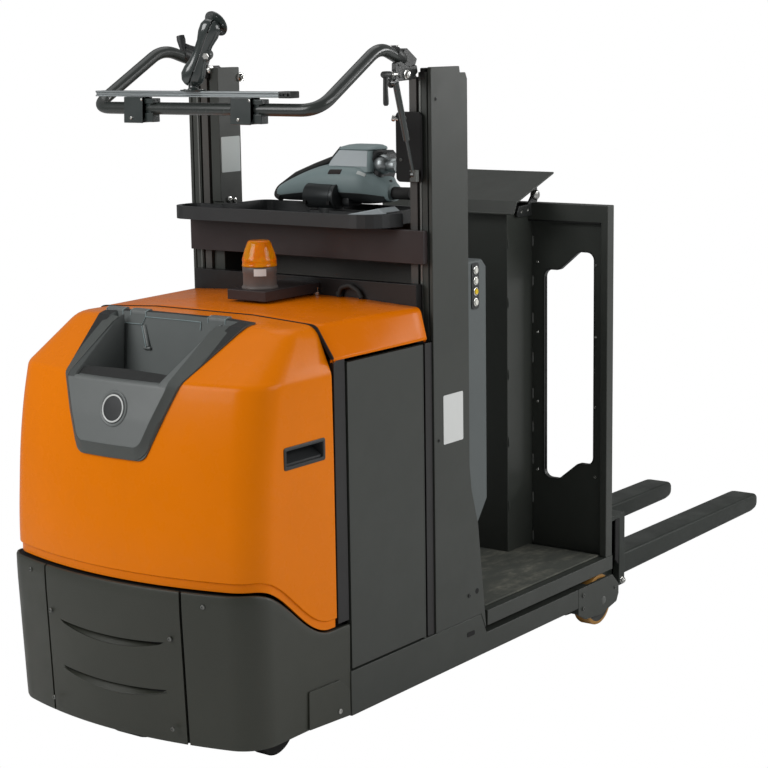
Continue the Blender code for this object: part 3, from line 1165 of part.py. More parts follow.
def main():
    clear_scene()
    for name in MATERIALS:
        PAINT[name] = make_material(name)
    truck = Frame("truck_frame", (0.0, 0.0, 0.0))
    truck.empty.location = (-CENTRE_X, 0.0, 0.0)
    wheel_y = wheel_centre_y()
    door_frames = {}
    wheel_frames = {}
    for name, side in (("near", -1), ("far", 1)):
        hinge = (DOOR_REAR_X + HINGE_R / 2, side * (HALF - HINGE_R), DOOR_BOTTOM_Z)
        door_frames[name] = Frame(f"door_hinge_{name}", hinge, truck)
        wheel_frames[name] = Frame(f"load_axle_{name}", (LOAD_WHEEL_X, side * wheel_y, LOAD_WHEEL_R), truck)
    steer = Frame("steer_axis", (DRIVE_X, DRIVE_Y, DECK_Z), truck)
    drive_axle = Frame("drive_axle", (DRIVE_X, DRIVE_Y, DRIVE_WHEEL_R), steer)
    swivel = Frame("castor_swivel", (CASTOR_X, CASTOR_Y, DECK_Z), truck)
    castor_axle = Frame("castor_axle", (CASTOR_X + CASTOR_TRAIL, CASTOR_Y, CASTOR_R), swivel)
    lift = Frame("lift_carriage", (0.0, 0.0, 0.0), truck)
    turning = Frame("steering_axis", (HEAD_X - 0.050, HEAD_Y, HEAD_Z), lift)
    bar = Frame("bar_pivot", (BAR_PIVOT_X, 0.0, BAR_PIVOT_Z), lift)
    strut_eye = Frame("strut_eye", (BAR_EYE_X, -STRUT_Y, BAR_EYE_Z), bar)
    strut_slide = Frame("strut_slide", (STRUT_FOOT_X, -STRUT_Y, STRUT_FOOT_Z), strut_eye)

    for build in (chassis_frame, battery, battery_lid, motor_hood, storage_bin, skirt, legs, posts,
                  crossmember, beacon):
        build(truck)
    battery_doors(door_frames)
    load_wheels(wheel_frames)
    drive(truck, steer, drive_axle)
    castor(swivel, castor_axle)
    for build in (carriage_frame, label_post, tray, console_housing, platform, rear_wall, desk,
                  fork_carriage, forks, bar_yokes, strut_plate):
        build(lift)
    steering_console(lift, turning)
    for build in (equipment_bar, accessory_rail, mount_arm):
        build(bar)
    gas_strut(strut_eye, strut_slide)


PAINT = {}
main()
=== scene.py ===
"""Looks of the order picker truck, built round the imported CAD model.

Lengths are metres, except in mm() and around(). Points are written in the drawing frame, with x = 0 at the
front of the mast posts; link() moves them to the row frame, whose origin is under the middle of the truck.
"""
import json
import math

import bmesh
import bpy
from mathutils import Matrix, Vector


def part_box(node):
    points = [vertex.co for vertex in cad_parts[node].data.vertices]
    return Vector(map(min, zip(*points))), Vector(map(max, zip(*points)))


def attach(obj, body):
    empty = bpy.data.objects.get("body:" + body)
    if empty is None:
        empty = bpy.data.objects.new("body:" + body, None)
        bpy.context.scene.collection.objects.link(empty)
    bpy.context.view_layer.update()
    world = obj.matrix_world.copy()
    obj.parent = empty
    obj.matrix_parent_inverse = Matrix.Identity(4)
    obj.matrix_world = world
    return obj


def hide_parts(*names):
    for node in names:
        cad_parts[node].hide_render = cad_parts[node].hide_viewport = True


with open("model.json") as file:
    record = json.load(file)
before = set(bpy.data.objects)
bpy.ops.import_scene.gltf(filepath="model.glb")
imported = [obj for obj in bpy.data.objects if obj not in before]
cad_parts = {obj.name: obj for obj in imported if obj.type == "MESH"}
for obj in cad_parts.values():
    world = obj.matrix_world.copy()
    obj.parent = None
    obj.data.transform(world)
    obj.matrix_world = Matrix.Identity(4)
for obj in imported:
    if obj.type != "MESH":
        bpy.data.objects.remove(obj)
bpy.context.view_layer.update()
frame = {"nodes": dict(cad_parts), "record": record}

ROW_SHIFT = Vector((-0.75, 0, 0))
HALF = 0.395
SIDES = (("near", -1), ("far", 1))


def mm(*values):
    """Lengths, or rows of lengths, that are written in millimetres."""
    return [tuple(mm(*value)) if isinstance(value, tuple) else value / 1000 for value in values]


def around(place, *rows):
    """Points at the given distances from a place; the distances are written in millimetres."""
    return [tuple(base + step for base, step in zip(place, row)) for row in mm(*rows)]


# Driving sizes, the same as the CAD's
NOSE_X = -0.79
SHOULDER_Z = 0.935
LID_SIDE_Z = 0.965
LID_EDGE_Z = 1.045
LID_CROWN_Z = 1.056
PANEL_GAP = 0.004
SKIRT_BOTTOM_Z = 0.095
SKIRT_SEAM_Y = HALF - 0.176
WAIST_FRONT_Z = 0.47
WAIST_REAR_Z = 0.32
WAIST_FRONT_X = NOSE_X + 0.09
WAIST_REAR_X = -0.43
HANDLE_X = -0.52
HANDLE_Z = 0.764
HANDLE_LENGTH = 0.146
HANDLE_HEIGHT = 0.047
BIN_BOTTOM_Z = 0.755
BIN_FOLD_Z = 0.925
BIN_BOTTOM_HALF = HALF * 0.266
BIN_FOLD_HALF = HALF * 0.451
BIN_TOP_HALF = HALF * 0.595
BIN_CORNER = 0.03
BIN_PROUD = 0.004
BIN_FLOOR_Z = 0.83
BAR_R = 0.015
BAR_Y = HALF - 0.06
BAR_PIVOT_X = -0.01
BAR_PIVOT_Z = 1.628
BAR_PEAK_X = -0.146
BAR_PEAK_Z = 1.684
BAR_CROSS_X = -0.396
BAR_CROSS_Z = 1.543
STRUT_PLATE_X = -0.013
LINK_FACE_Y = -BAR_Y - 0.022
BAR_EYE_X = -0.107
BAR_EYE_Z = 1.598
RAIL_Z = 1.578
RAIL_BASE_Z = RAIL_Z - 0.0065
RAIL_TOP_Z = RAIL_Z + 0.0075
CLAMP_FRONT_Y = (0.205, -0.138)
CLAMP_LOW_Z = 1.508
MOUNT_Y = 0.02
WALL_SHEET = 0.014
WALL_TOP_Z = 1.227
WINDOW_INNER_Y = 0.173
WINDOW_OUTER_Y = 0.338
WINDOW_Z = (0.412, 0.466, 1.032, 1.088)
DESK_HALF = 0.185
BUTTON_TOP_Z = 1.102
BUTTON_PITCH = 0.028
STEERING = "steering_console"
# Each row is y, middle height, half height, middle x and half depth
HEAD_ROWS = mm((166, 1303, 10, 105, 18), (150, 1306, 21, 108, 38), (80, 1321, 37, 117, 66),
    (10, 1332, 48, 121, 80), (-60, 1335, 52, 122, 84), (-125, 1334, 51, 120, 78), (-160, 1326, 40, 115, 58),
    (-185, 1318, 29, 110, 40), (-203, 1313, 22, 108, 30))
# Each row is a height, lowest and highest x, far and near y
TOWER_ROWS = mm((1366, 64, 178, -10, -158), (1380, 66, 176, -15, -157), (1392, 71, 174, -20, -154),
    (1408, 80, 170, -29, -148), (1420, 88, 166, -36, -144))
CROWN_ROWS = mm((1418.5, 88, 168, -36, -146), (1422.5, 85, 170, -33, -150), (1427.5, 90, 168, -37, -148),
    (1432, 106, 160, -48, -142), (1433.5, 122, 150, -60, -132))

# Sizes of the details
LIP_HEIGHT = 0.02
LIP_INSET = 0.005
FRONT_STEPS = 20
CORNER_STEPS = 14
SIDE_STEPS = 22
SKIRT_STEPS = 12
SKIRT_EDGE = 0.006
SEAM_STEPS = 28
LOUVER_Z = (0.337, 0.221)
LOUVER_HALF = 0.168
LOUVER_STEPS = 24
SKIRT_SCREWS = mm((199, 357), (-188, 353), (-188, 136), (200, 138), (280, 443), (-276, 439))
LID_STEPS = 10
PANEL_STEPS = 22
PANEL_RISE = 0.013
BORDER_SIDE = 0.021
BORDER_LOW = 0.031
BORDER_STEPS = 40
BORDER_TOP_Z = LID_CROWN_Z - 0.008
MOUTH_STEPS = 12
MOUTH_LOW_Z = BIN_FOLD_Z + 0.004
MOUTH_TOP_Z = LID_CROWN_Z - 0.006
BIN_WALL_SLOPE = 0.376
BADGE_Y = -0.012
BADGE_Z = 0.87
BIN_TABS = mm((230, 173, 1031), (149, 97, 1047), (-101, -156, 1046))
BIN_LOW_X = (-0.686, -0.582)
WALL_SCREW_Y = (0.149, 0.3455)
WALL_SCREW_Z = (1.053, 0.845, 0.638, 0.431)
BOX_WELD_Z = (0.33, 0.52, 0.72, 0.93, 1.1)
CORNER_WELD_Z = (1.113, 0.996, 0.886, 0.768, 0.66, 0.56, 0.462, 0.345, 0.226)
# Each row is x, height, radius and length of a bolt head
BRACKET_BOLTS = mm((742, 118, 6.5, 4), (742, 78, 6.5, 4), (925, 98, 4.5, 3))
LENS_STEPS = 96
SHROUD_STEPS = 19
ARC_STEPS = 12
FORK_STEPS = 14
FORK_HEEL_Z = 0.024
FORK_TOE_Z = FORK_HEEL_Z + 0.008
FORK_TAPER = 0.62
TIP_LENGTH = 0.055
PACKED_WELD = 0.00002
FLAT_DEGREES = 0.6
# Each row is a share of the arm's length, half width and half depth
ARM_SHELL = ((-0.19, 0.012, 0.01), (-0.14, 0.021, 0.016), (-0.02, 0.0275, 0.02), (0.12, 0.026, 0.019),
    (0.3, 0.0195, 0.0155), (0.5, 0.018, 0.0145), (0.7, 0.019, 0.0155), (0.88, 0.024, 0.018),
    (1.02, 0.024, 0.018), (1.12, 0.018, 0.014), (1.16, 0.01, 0.008))
GRIP_PATH = mm((70, 140, 1290), (85, 168, 1296), (98, 170, 1312), (104, 112, 1350), (110, 52, 1374),
    (116, -4, 1394), (118, -30, 1421))
PIPE_PATH = mm((-40, -130, 1058), (-40, -138, 1080), (-40, -166, 1088), (-40, -192, 1074), (-40, -202, 1058))

# Camera solved from the photograph, in the drawing frame
CAMERA_AT = (-3.95312, -3.13841, 1.71086)
CAMERA_HEADING = 36.24707
CAMERA_PITCH = 10.13739
CAMERA_ROLL = -0.83483
FOCAL_PIXELS = 1950.602
IMAGE_PIXELS = 768
SENSOR_MM = 36


# Materials

# Screen colours of dust, and of the painted shade on level places
DUST = (84, 90, 84)
SHADE_COLOUR = (16, 16, 16)
GLOSS_SPREAD = 0.04


def srgb(red, green, blue):
    """A colour given as 0 to 255 screen values."""
    linear = []
    for value in (red, green, blue):
        share = value / 255
        linear.append(share / 12.92 if share <= 0.04045 else ((share + 0.055) / 1.055) ** 2.4)
    return (*linear, 1)


class Shader:
    """A short way to write node trees; sockets are named with underscores for spaces."""

    def __init__(self, name):
        self.material = bpy.data.materials.new(f"{name}_look")
        self.material.use_nodes = True
        self.tree = self.material.node_tree
        self.place = self.node("TexCoord").outputs["Object"]

    def put(self, socket, value):
        """Set a socket to a value, or link it to another socket."""
        if isinstance(value, (int, float, tuple)):
            socket.default_value = value
        else:
            self.tree.links.new(value, socket)

    def node(self, kind, settings=None, **sockets):
        made = self.tree.nodes.new(f"ShaderNode{kind}")
        for key, value in (settings or {}).items():
            setattr(made, key, value)
        for key, value in sockets.items():
            self.put(made.inputs[key.replace("_", " ")], value)
        return made

    def main(self, **sockets):
        """Fill sockets of the surface's own shader."""
        for key, value in sockets.items():
            self.put(self.tree.nodes["Principled BSDF"].inputs[key.replace("_", " ")], value)

    def noise(self, scale, detail=3, roughness=0.5, stretch=None):
        source = self.place
        if stretch:
            source = self.node("Mapping", Scale=stretch, Vector=source).outputs["Vector"]
        return self.node("TexNoise", Scale=scale, Detail=detail, Roughness=roughness,
            Vector=source).outputs["Fac"]

    def ramp(self, source, low, high, low_value=0, high_value=1):
        return self.node("MapRange", {"interpolation_type": "SMOOTHSTEP"}, From_Min=low, From_Max=high,
            To_Min=low_value, To_Max=high_value, Value=source).outputs["Result"]

    def math(self, operation, first, second):
        made = self.node("Math", {"operation": operation})
        self.put(made.inputs[0], first)
        self.put(made.inputs[1], second)
        return made.outputs[0]

    def mix(self, factor, first, second):
        made = self.node("Mix", {"data_type": "RGBA"})
        for index, value in ((0, factor), (6, first), (7, second)):
            self.put(made.inputs[index], value)
        return made.outputs[2]

    def facing_up(self):
        normal = self.node("NewGeometry").outputs["Normal"]
        return self.node("SeparateXYZ", Vector=normal).outputs["Z"]

    def bump(self, height, strength, distance=0.001):
        self.main(Normal=self.node("Bump", Strength=strength, Distance=distance,
            Height=height).outputs["Normal"])


def shade(colour, amount):
    """A colour made lighter or darker by a factor."""
    return (*(min(1, part * amount) for part in colour[:3]), 1)


def coated(name, colour, rough, grain, grain_strength, spread=0.12, coat=0, dust=0, metallic=0, shine=0.4,
        painted_shade=0):
    """Paint or plastic: clouded colour, uneven gloss, a fine grain, dust on level places, and painted shade on
    level places when asked for.
    """
    made, colour = Shader(name), srgb(*colour)
    cloud = made.ramp(made.noise(3, 5, 0.6), 0.3, 0.7)
    base = made.mix(cloud, shade(colour, 1 - spread / 2), shade(colour, 1 + spread / 2))
    if dust:
        level = made.ramp(made.facing_up(), 0.75, 0.98)
        patches = made.ramp(made.noise(9, 6, 0.65), 0.38, 0.72)
        base = made.mix(made.math("MULTIPLY", made.math("MULTIPLY", level, patches), dust), base, srgb(*DUST))
    # Painted shade: level places are darkened towards a near-black colour.
    if painted_shade:
        level = made.ramp(made.facing_up(), 0.35, 0.8)
        base = made.mix(made.math("MULTIPLY", level, painted_shade), base, srgb(*SHADE_COLOUR))
    gloss = made.ramp(made.noise(14, 4, 0.6), 0.3, 0.7, rough - GLOSS_SPREAD, rough + GLOSS_SPREAD)
    made.main(Base_Color=base, Roughness=gloss, Metallic=metallic, Specular_IOR_Level=shine)
    if coat:
        made.main(Coat_Weight=coat, Coat_Roughness=0.06)
    made.bump(made.noise(grain, 2, 0.5), grain_strength)
    return made.material


def brushed(name, colour, rough, stretch=(1, 1, 1)):
    """Bare metal with fine drawn lines."""
    made, colour = Shader(name), srgb(*colour)
    lines = made.noise(60, 4, 0.6, stretch)
    tint = made.mix(made.ramp(lines, 0.3, 0.7), shade(colour, 0.85), shade(colour, 1.1))
    made.main(Base_Color=tint, Roughness=made.ramp(lines, 0.25, 0.75, rough - 0.06, rough + 0.1), Metallic=1)
    made.bump(lines, 0.08)
    return made.material


def worn_mat(name):
    """Rubber mat, grey with trodden dust in long scuffs."""
    made = Shader(name)
    scuffs = made.ramp(made.noise(7, 8, 0.72, (1, 2.2, 1)), 0.42, 0.68)
    fibres = made.ramp(made.noise(38, 6, 0.75, (3, 0.8, 1)), 0.4, 0.72)
    cover = made.math("MULTIPLY", scuffs, made.math("ADD", made.math("MULTIPLY", fibres, 0.6), 0.25))
    made.main(Base_Color=made.mix(cover, srgb(72, 75, 69), srgb(140, 138, 124)), Roughness=0.82)
    made.bump(made.noise(240, 4, 0.7), 0.5, 0.002)
    return made.material


def lens(name):
    """Amber plastic that lets some light through."""
    made = Shader(name)
    tint = made.mix(made.ramp(made.noise(30, 3), 0.35, 0.65), srgb(255, 172, 10), srgb(250, 138, 0))
    made.main(Base_Color=tint, Roughness=0.1, Transmission_Weight=0.45, Specular_IOR_Level=0.4, IOR=1.35)
    made.bump(made.noise(120, 1), 0.03)
    return made.material


ORANGE = coated("orange_paint", (231, 122, 0), 0.28, 900, 0.03, 0.05, coat=0.03, shine=0.1)
GREY = coated("dark_grey_paint", (54, 57, 53), 0.44, 1300, 0.16, 0.1)
FORK_GREY = coated("fork_paint", (36, 41, 37), 0.42, 900, 0.2, dust=0.3, shine=0.3)
BLACK = coated("black_paint", (28, 27, 27), 0.38, 1100, 0.14, 0.16)
BROWN = coated("brown_black_paint", (50, 42, 42), 0.36, 1100, 0.14, 0.14)
INSERT = coated("insert_plastic", (98, 102, 101), 0.42, 1500, 0.35, 0.08, shine=0.55)
# Painted shade: a slightly darker copy of the orange paint, for the dark things that the lid's top reflects.
LID_ORANGE = coated("lid_paint", (226, 116, 0), 0.26, 900, 0.02, 0.05, shine=0.06)
# Painted shade: a darker copy of the insert plastic for the pocket's far side wall.
BIN_SHADED_SIDE = coated("bin_shaded_side", (66, 70, 69), 0.55, 1500, 0.45, 0.08)
SOCKET_BROWN = coated("socket", (97, 90, 87), 0.42, 1100, 0.14, 0.1)
FRAME_BROWN = coated("carriage_paint", (74, 72, 69), 0.4, 1100, 0.14)
# Painted shade: the bin's sloping border is drawn darker than its raised face, as it slopes away from the
# light.
BIN_SHADED_BORDER = coated("bin_shaded_border", (74, 78, 76), 0.5, 1500, 0.45, 0.08)
# Painted shade: a darker copy of the insert plastic for the pocket's inside, darkest on its level places.
BIN_INNER_SHADED = coated("bin_inner_shaded", (86, 91, 90), 0.55, 1500, 0.45, 0.08, painted_shade=0.9)
HOUSING = coated("housing_plastic", (88, 94, 94), 0.46, 1500, 0.35, 0.08)
CONSOLE = coated("console_plastic", (128, 144, 145), 0.4, 1600, 0.25, 0.08)
CONSOLE_LIGHT = coated("console_light", (180, 188, 191), 0.38, 1600, 0.2, 0.06)
BLACK_PLASTIC = coated("black_plastic", (40, 42, 43), 0.42, 1500, 0.35)
RUBBER = coated("rubber", (38, 38, 37), 0.72, 700, 0.4, 0.2)
TREAD = coated("amber_tread", (164, 120, 58), 0.42, 500, 0.25, 0.25)
STEEL = brushed("bare_steel", (190, 190, 186), 0.3, (1, 0.02, 1))
BRIGHT = brushed("bright_steel", (214, 214, 210), 0.22)
CAST = coated("cast_grey", (84, 86, 86), 0.62, 300, 0.6, 0.2)
HUB_DARK = coated("wheel_hub", (44, 46, 44), 0.55, 500, 0.3, 0.2)
MAT = worn_mat("mat")
LENS = lens("amber_lens")
LENS_CORE = coated("lens_core", (255, 160, 10), 0.3, 200, 0.1, 0.3)
CASTING = coated("skirt_casting", (52, 54, 47), 0.4, 700, 0.3)
BAR_BLACK = coated("bar_paint", (50, 54, 52), 0.26, 900, 0.06, coat=0.2)
BLACK_METAL = coated("black_metal", (44, 46, 45), 0.38, 1200, 0.15, 0.14)
ARM_BLACK = coated("arm_paint", (46, 53, 52), 0.2, 500, 0.06, coat=0.6, shine=0.6)
RAIL_METAL = brushed("rail_metal", (150, 155, 156), 0.34, (1, 0.02, 1))
# Worn bare metal; on the posts' strips it also paints a sheen.
BRIGHT_WORN_AND_SHEEN = brushed("worn_edge_and_sheen", (120, 121, 118), 0.4, (1, 1, 0.03))
ROLL_METAL = coated("roll", (58, 61, 62), 0.3, 400, 0.06, metallic=0.5)
GREY_EDGE = coated("edge_paint", (84, 86, 83), 0.45, 900, 0.2, 0.16)
SHADOW = coated("deep_shadow", (14, 14, 14), 0.75, 300, 0.1, 0.3)
LABEL = coated("blank_label", (214, 216, 214), 0.42, 260, 0.04, 0.04)
LABEL_GREY = coated("blank_grey_label", (196, 202, 200), 0.45, 260, 0.05, 0.06)
BADGE_WHITE = coated("badge_ring", (205, 207, 205), 0.35, 400, 0.05, 0.05)
DISPLAY = coated("display", (34, 26, 26), 0.14, 60, 0.01, 0.4, coat=0.6)
BUTTON_WHITE = coated("white_button", (226, 226, 218), 0.36, 500, 0.05, 0.05)
BUTTON_YELLOW = coated("yellow_button", (232, 196, 28), 0.36, 500, 0.05, 0.08)
PLATE_BLACK = coated("plate_black", (16, 16, 16), 0.5, 900, 0.1, 0.2, shine=0.25)

FINISH = {"orange_paint": ORANGE, "dark_grey_paint": GREY, "black_paint": BLACK, "brown_black_paint": BROWN,
    "grey_plastic": HOUSING, "light_grey_plastic": CONSOLE_LIGHT, "black_plastic": BLACK_PLASTIC,
    "black_rubber": RUBBER, "amber_lens": LENS, "amber_tread": TREAD, "bare_steel": STEEL, "cast_grey": CAST}
NODE_FINISH = {"fork_near": FORK_GREY, "fork_far": FORK_GREY, "fork_carriage": FORK_GREY, "floor_mat": MAT,
    "storage_bin": BIN_INNER_SHADED, "steering_head": CONSOLE, "strut_rod": ARM_BLACK, "strut_tube": ARM_BLACK,
    "console_base": BLACK_PLASTIC, "strut_plate": PLATE_BLACK, "carriage_frame": FRAME_BROWN}
NODE_BEVEL = {"steering_head": 0, "floor_mat": 0.002, "storage_bin": 0.003, "mount_arm": 0.001,
    "load_wheel_near": 0, "load_wheel_far": 0, "drive_wheel": 0, "castor_wheel": 0, "fork_near": 0.006,
    "fork_far": 0.006}


def linked(name, data):
    """A new object in the scene."""
    made = bpy.data.objects.new(name, data)
    bpy.context.scene.collection.objects.link(made)
    return made


def limits(node):
    """Lowest and highest corner of a CAD node, in the drawing frame."""
    low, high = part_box(node)
    return Vector(low) - ROW_SHIFT, Vector(high) - ROW_SHIFT


# Shapes, in the drawing frame

def closed(shape):
    """Turn the faces of a closed shape outwards."""
    bmesh.ops.recalc_face_normals(shape, faces=shape.faces)
    return shape


def skin_rings(rings, ends=True, loop=True):
    """Join rings of equal length with faces, with or without end caps."""
    shape = bmesh.new()
    rows = [[shape.verts.new(point) for point in ring] for ring in rings]
    count = len(rows[0])
    for lower, upper in zip(rows, rows[1:]):
        for index in range(count if loop else count - 1):
            after = (index + 1) % count
            shape.faces.new((lower[index], lower[after], upper[after], upper[index]))
    if ends:
        shape.faces.new(rows[0][::-1])
        shape.faces.new(rows[-1])
    return closed(shape)


def open_sheet(rows):
    """An open sheet through rows of points, with its faces turned outwards."""
    return outwards(skin_rings(rows, ends=False, loop=False))


def looped(rings):
    """A closed band of rings, the last joined to the first."""
    return skin_rings(rings + [rings[0]], ends=False)


def mirror(points):
    """The same points on the other side of the truck, in reverse order."""
    return [Vector((point.x, -point.y, point.z)) for point in reversed(points)]


def prism(axis, outline, low, high):
    """Extrude a 2-D outline along one axis; the outline holds the other two axes in X, Y, Z order."""
    def place(point, level):
        coords = list(point)
        coords.insert("XYZ".index(axis), level)
        return coords
    return skin_rings([[place(point, level) for point in outline] for level in (low, high)])


def span(side, first, last):
    """Two distances from the truck's middle plane as a rising range on one side of it."""
    return sorted((side * first, side * last))


def slab(x_range, y_range, z_range):
    """A box from its three ranges."""
    corners = [(x_range[0], y_range[0]), (x_range[1], y_range[0]), (x_range[1], y_range[1]),
        (x_range[0], y_range[1])]
    return prism("Z", corners, *z_range)


def circle(centre, along, radius, segments):
    """Points round an axis, at one radius."""
    turn = Vector(along).to_track_quat("Z", "Y").to_matrix()
    angles = [2 * math.pi * step / segments for step in range(segments)]
    return [Vector(centre) + turn @ Vector((radius * math.cos(angle), radius * math.sin(angle), 0))
        for angle in angles]


def ball_profile(radius, steps, hole):
    """Profile of a ball round its own centre, with a tiny hole at its poles."""
    angles = [math.pi * step / steps for step in range(steps + 1)]
    return [(radius * math.sin(angle) + hole, -radius * math.cos(angle)) for angle in angles]


def turned(place, along, profile, segments=32):
    """Turn (radius, distance) pairs about an axis that starts at a point."""
    axis = Vector(along).normalized()
    return skin_rings([circle(Vector(place) + axis * far, axis, radius, segments) for radius, far in profile])


def rod(start, end, radius, end_radius=None, segments=24, lip=0):
    """A round bar or cone between two points, with rounded rims where lip is given."""
    start, end = Vector(start), Vector(end)
    length = (end - start).length
    last = radius if end_radius is None else end_radius
    profile = [(radius, 0), (last, length)]
    if lip:
        profile = [(radius - lip, 0), (radius - lip * 0.3, lip * 0.3), (radius, lip), (last, length - lip),
            (last - lip * 0.3, length - lip * 0.3), (last - lip, length)]
    return turned(start, end - start, profile, segments)


def tube(path, radius, segments=20):
    """A round solid along a path; radius may be a list with a size at each point."""
    path = [Vector(point) for point in path]
    rings = []
    side = (path[1] - path[0]).orthogonal().normalized()
    for index, centre in enumerate(path):
        tangent = (path[min(index + 1, len(path) - 1)] - path[max(index - 1, 0)]).normalized()
        side = (side - tangent * side.dot(tangent)).normalized()
        other = tangent.cross(side)
        size = radius[index] if isinstance(radius, list) else radius
        rings.append([centre + size * (side * math.cos(2 * math.pi * step / segments)
            + other * math.sin(2 * math.pi * step / segments)) for step in range(segments)])
    return skin_rings(rings)


def bent_path(points, radius, steps=10):
    """A 3-D path with its inner corners rounded."""
    points = [Vector(point) for point in points]
    path = [points[0]]
    for before, here, after in zip(points, points[1:], points[2:]):
        to_before, to_after = (before - here).normalized(), (after - here).normalized()
        half_angle = to_before.angle(to_after) / 2
        reach = radius / math.tan(half_angle)
        middle = here + (to_before + to_after).normalized() * radius / math.sin(half_angle)
        first, last = here + to_before * reach - middle, here + to_after * reach - middle
        for step in range(steps + 1):
            path.append(middle + first.slerp(last, step / steps).normalized() * radius)
    return path + [points[-1]]


def rounded(outline, radius, steps=5):
    """Round the corners of a 2-D outline; a corner given as (x, y, r) has its own radius."""
    points = []
    for index, corner in enumerate(outline):
        here = Vector(corner[:2])
        size = corner[2] if len(corner) > 2 else radius
        before = (Vector(outline[index - 1][:2]) - here).normalized()
        after = (Vector(outline[(index + 1) % len(outline)][:2]) - here).normalized()
        half_angle = before.angle(after) / 2
        if size <= 0 or half_angle > math.radians(88):
            points.append(tuple(here))
            continue
        reach = size / math.tan(half_angle)
        middle = here + (before + after).normalized() * size / math.sin(half_angle)
        first = here + before * reach - middle
        last = here + after * reach - middle
        sweep = first.angle_signed(last)
        for step in range(steps + 1):
            points.append(tuple(middle + Matrix.Rotation(-sweep * step / steps, 2) @ first))
    return points


def rectangle(low, high, radius=0, steps=5):
    """The outline of a rectangle, with round corners where a radius is given."""
    corners = [(low[0], low[1]), (high[0], low[1]), (high[0], high[1]), (low[0], high[1])]
    return rounded(corners, radius, steps) if radius else corners


def catmull(share, before, first, second, after):
    """A point between first and second on a smooth curve through four values."""
    return 0.5 * (2 * first + (second - before) * share + (2 * before - 5 * first + 4 * second
        - after) * share ** 2 + (3 * first - before - 3 * second + after) * share ** 3)


def smooth_rows(rows, steps):
    """More rows on a smooth curve through the given ones."""
    dense = []
    for index in range(len(rows) - 1):
        four = [rows[max(index - 1, 0)], rows[index], rows[index + 1], rows[min(index + 2, len(rows) - 1)]]
        for step in range(steps):
            dense.append(tuple(catmull(step / steps, *values) for values in zip(*four)))
    dense.append(tuple(rows[-1]))
    return dense


def joined(shapes):
    """One mesh out of several."""
    whole = bmesh.new()
    for shape in shapes:
        part = bpy.data.meshes.new("part")
        shape.to_mesh(part)
        shape.free()
        whole.from_mesh(part)
        bpy.data.meshes.remove(part)
    return whole


# Pieces

def link(name, shape):
    """Move a shape to the row frame and put it in the scene."""
    for vertex in shape.verts:
        vertex.co += ROW_SHIFT
    mesh = bpy.data.meshes.new(name)
    shape.to_mesh(mesh)
    shape.free()
    return linked(name, mesh)


def piece(name, shape, look, body="chassis", bevel=0, angle=35, sheet=0, cuts=(), stands_for=()):
    """Link a shape as a piece that rides on a body. A sheet is thickened inwards; cuts are taken out of it."""
    made = link(name, shape)
    if sheet:
        thicken = made.modifiers.new("sheet", "SOLIDIFY")
        thicken.thickness = sheet
        thicken.offset = -1
    tools = [link(f"{name}_tool_{count}", cut) for count, cut in enumerate(cuts)]
    for tool in tools:
        cut = made.modifiers.new("cut", "BOOLEAN")
        cut.operation = "DIFFERENCE"
        cut.solver = "EXACT"
        cut.object = tool
    if sheet or tools:
        whole = bpy.data.meshes.new_from_object(made.evaluated_get(bpy.context.evaluated_depsgraph_get()))
        made.modifiers.clear()
        made.data = whole
    for tool in tools:
        bpy.data.objects.remove(tool)
    made.data.materials.clear()
    made.data.materials.append(look)
    for polygon in made.data.polygons:
        polygon.use_smooth = True
    made.data.set_sharp_from_angle(angle=math.radians(angle))
    round_edges(made, bevel, angle)
    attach(made, body)
    if stands_for:
        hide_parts(*stands_for)
    return made


def outwards(shape):
    """Turn an open sheet's faces away from its middle."""
    bmesh.ops.recalc_face_normals(shape, faces=shape.faces)
    middle = sum((face.calc_center_median() for face in shape.faces), Vector()) / len(shape.faces)
    if sum(face.normal.dot(face.calc_center_median() - middle) for face in shape.faces) < 0:
        bmesh.ops.reverse_faces(shape, faces=shape.faces)
    return shape


def bolt_head(place, along, radius, height):
    """A round head with a soft rim and a socket."""
    profile = [(radius, 0), (radius, height * 0.6), (radius * 0.86, height * 0.92), (radius * 0.6, height),
        (radius * 0.48, height), (radius * 0.42, height * 0.45), (radius * 0.1, height * 0.42)]
    return turned(place, along, profile, 20)


def nut(place, along, radius, height):
    """A hexagon nut on its washer, with the end of its stud."""
    washer = turned(place, along, [(radius * 1.18, 0), (radius * 1.2, height * 0.12),
        (radius * 1.1, height * 0.22)], 24)
    hexagon = turned(place, along, [(radius, height * 0.2), (radius, height * 0.9), (radius * 0.88, height)], 6)
    stud = turned(place, along, [(radius * 0.5, height), (radius * 0.5, height * 1.25),
        (radius * 0.4, height * 1.32)], 16)
    return joined([washer, hexagon, stud])


def bolts(name, places, look, body="chassis"):
    """Several heads as one piece; each place is a point, a direction and a radius."""
    piece(name, joined([bolt_head(*place) for place in places]), look, body, angle=30)


def round_edges(made, width, angle=32):
    """Round the edges that are sharper than an angle."""
    if width:
        edge = made.modifiers.new("edge", "BEVEL")
        edge.width = width
        edge.segments = 2
        edge.limit_method = "ANGLE"
        edge.angle_limit = math.radians(angle)
        edge.harden_normals = True


def dress_nodes():
    """Give every CAD node its look, clean up its packed triangles and round its edges."""
    slots = {part["node"]: part["material_slot"] for part in frame["record"]["subparts"]}
    for name, made in frame["nodes"].items():
        made.data.materials.clear()
        made.data.materials.append(NODE_FINISH.get(name, FINISH[slots[name]]))
        weld = made.modifiers.new("weld", "WELD")
        weld.merge_threshold = PACKED_WELD
        merge = made.modifiers.new("merge", "DECIMATE")
        merge.decimate_type = "DISSOLVE"
        merge.angle_limit = math.radians(FLAT_DEGREES)
        round_edges(made, NODE_BEVEL.get(name, 0.002))


# Hood, skirt and lid

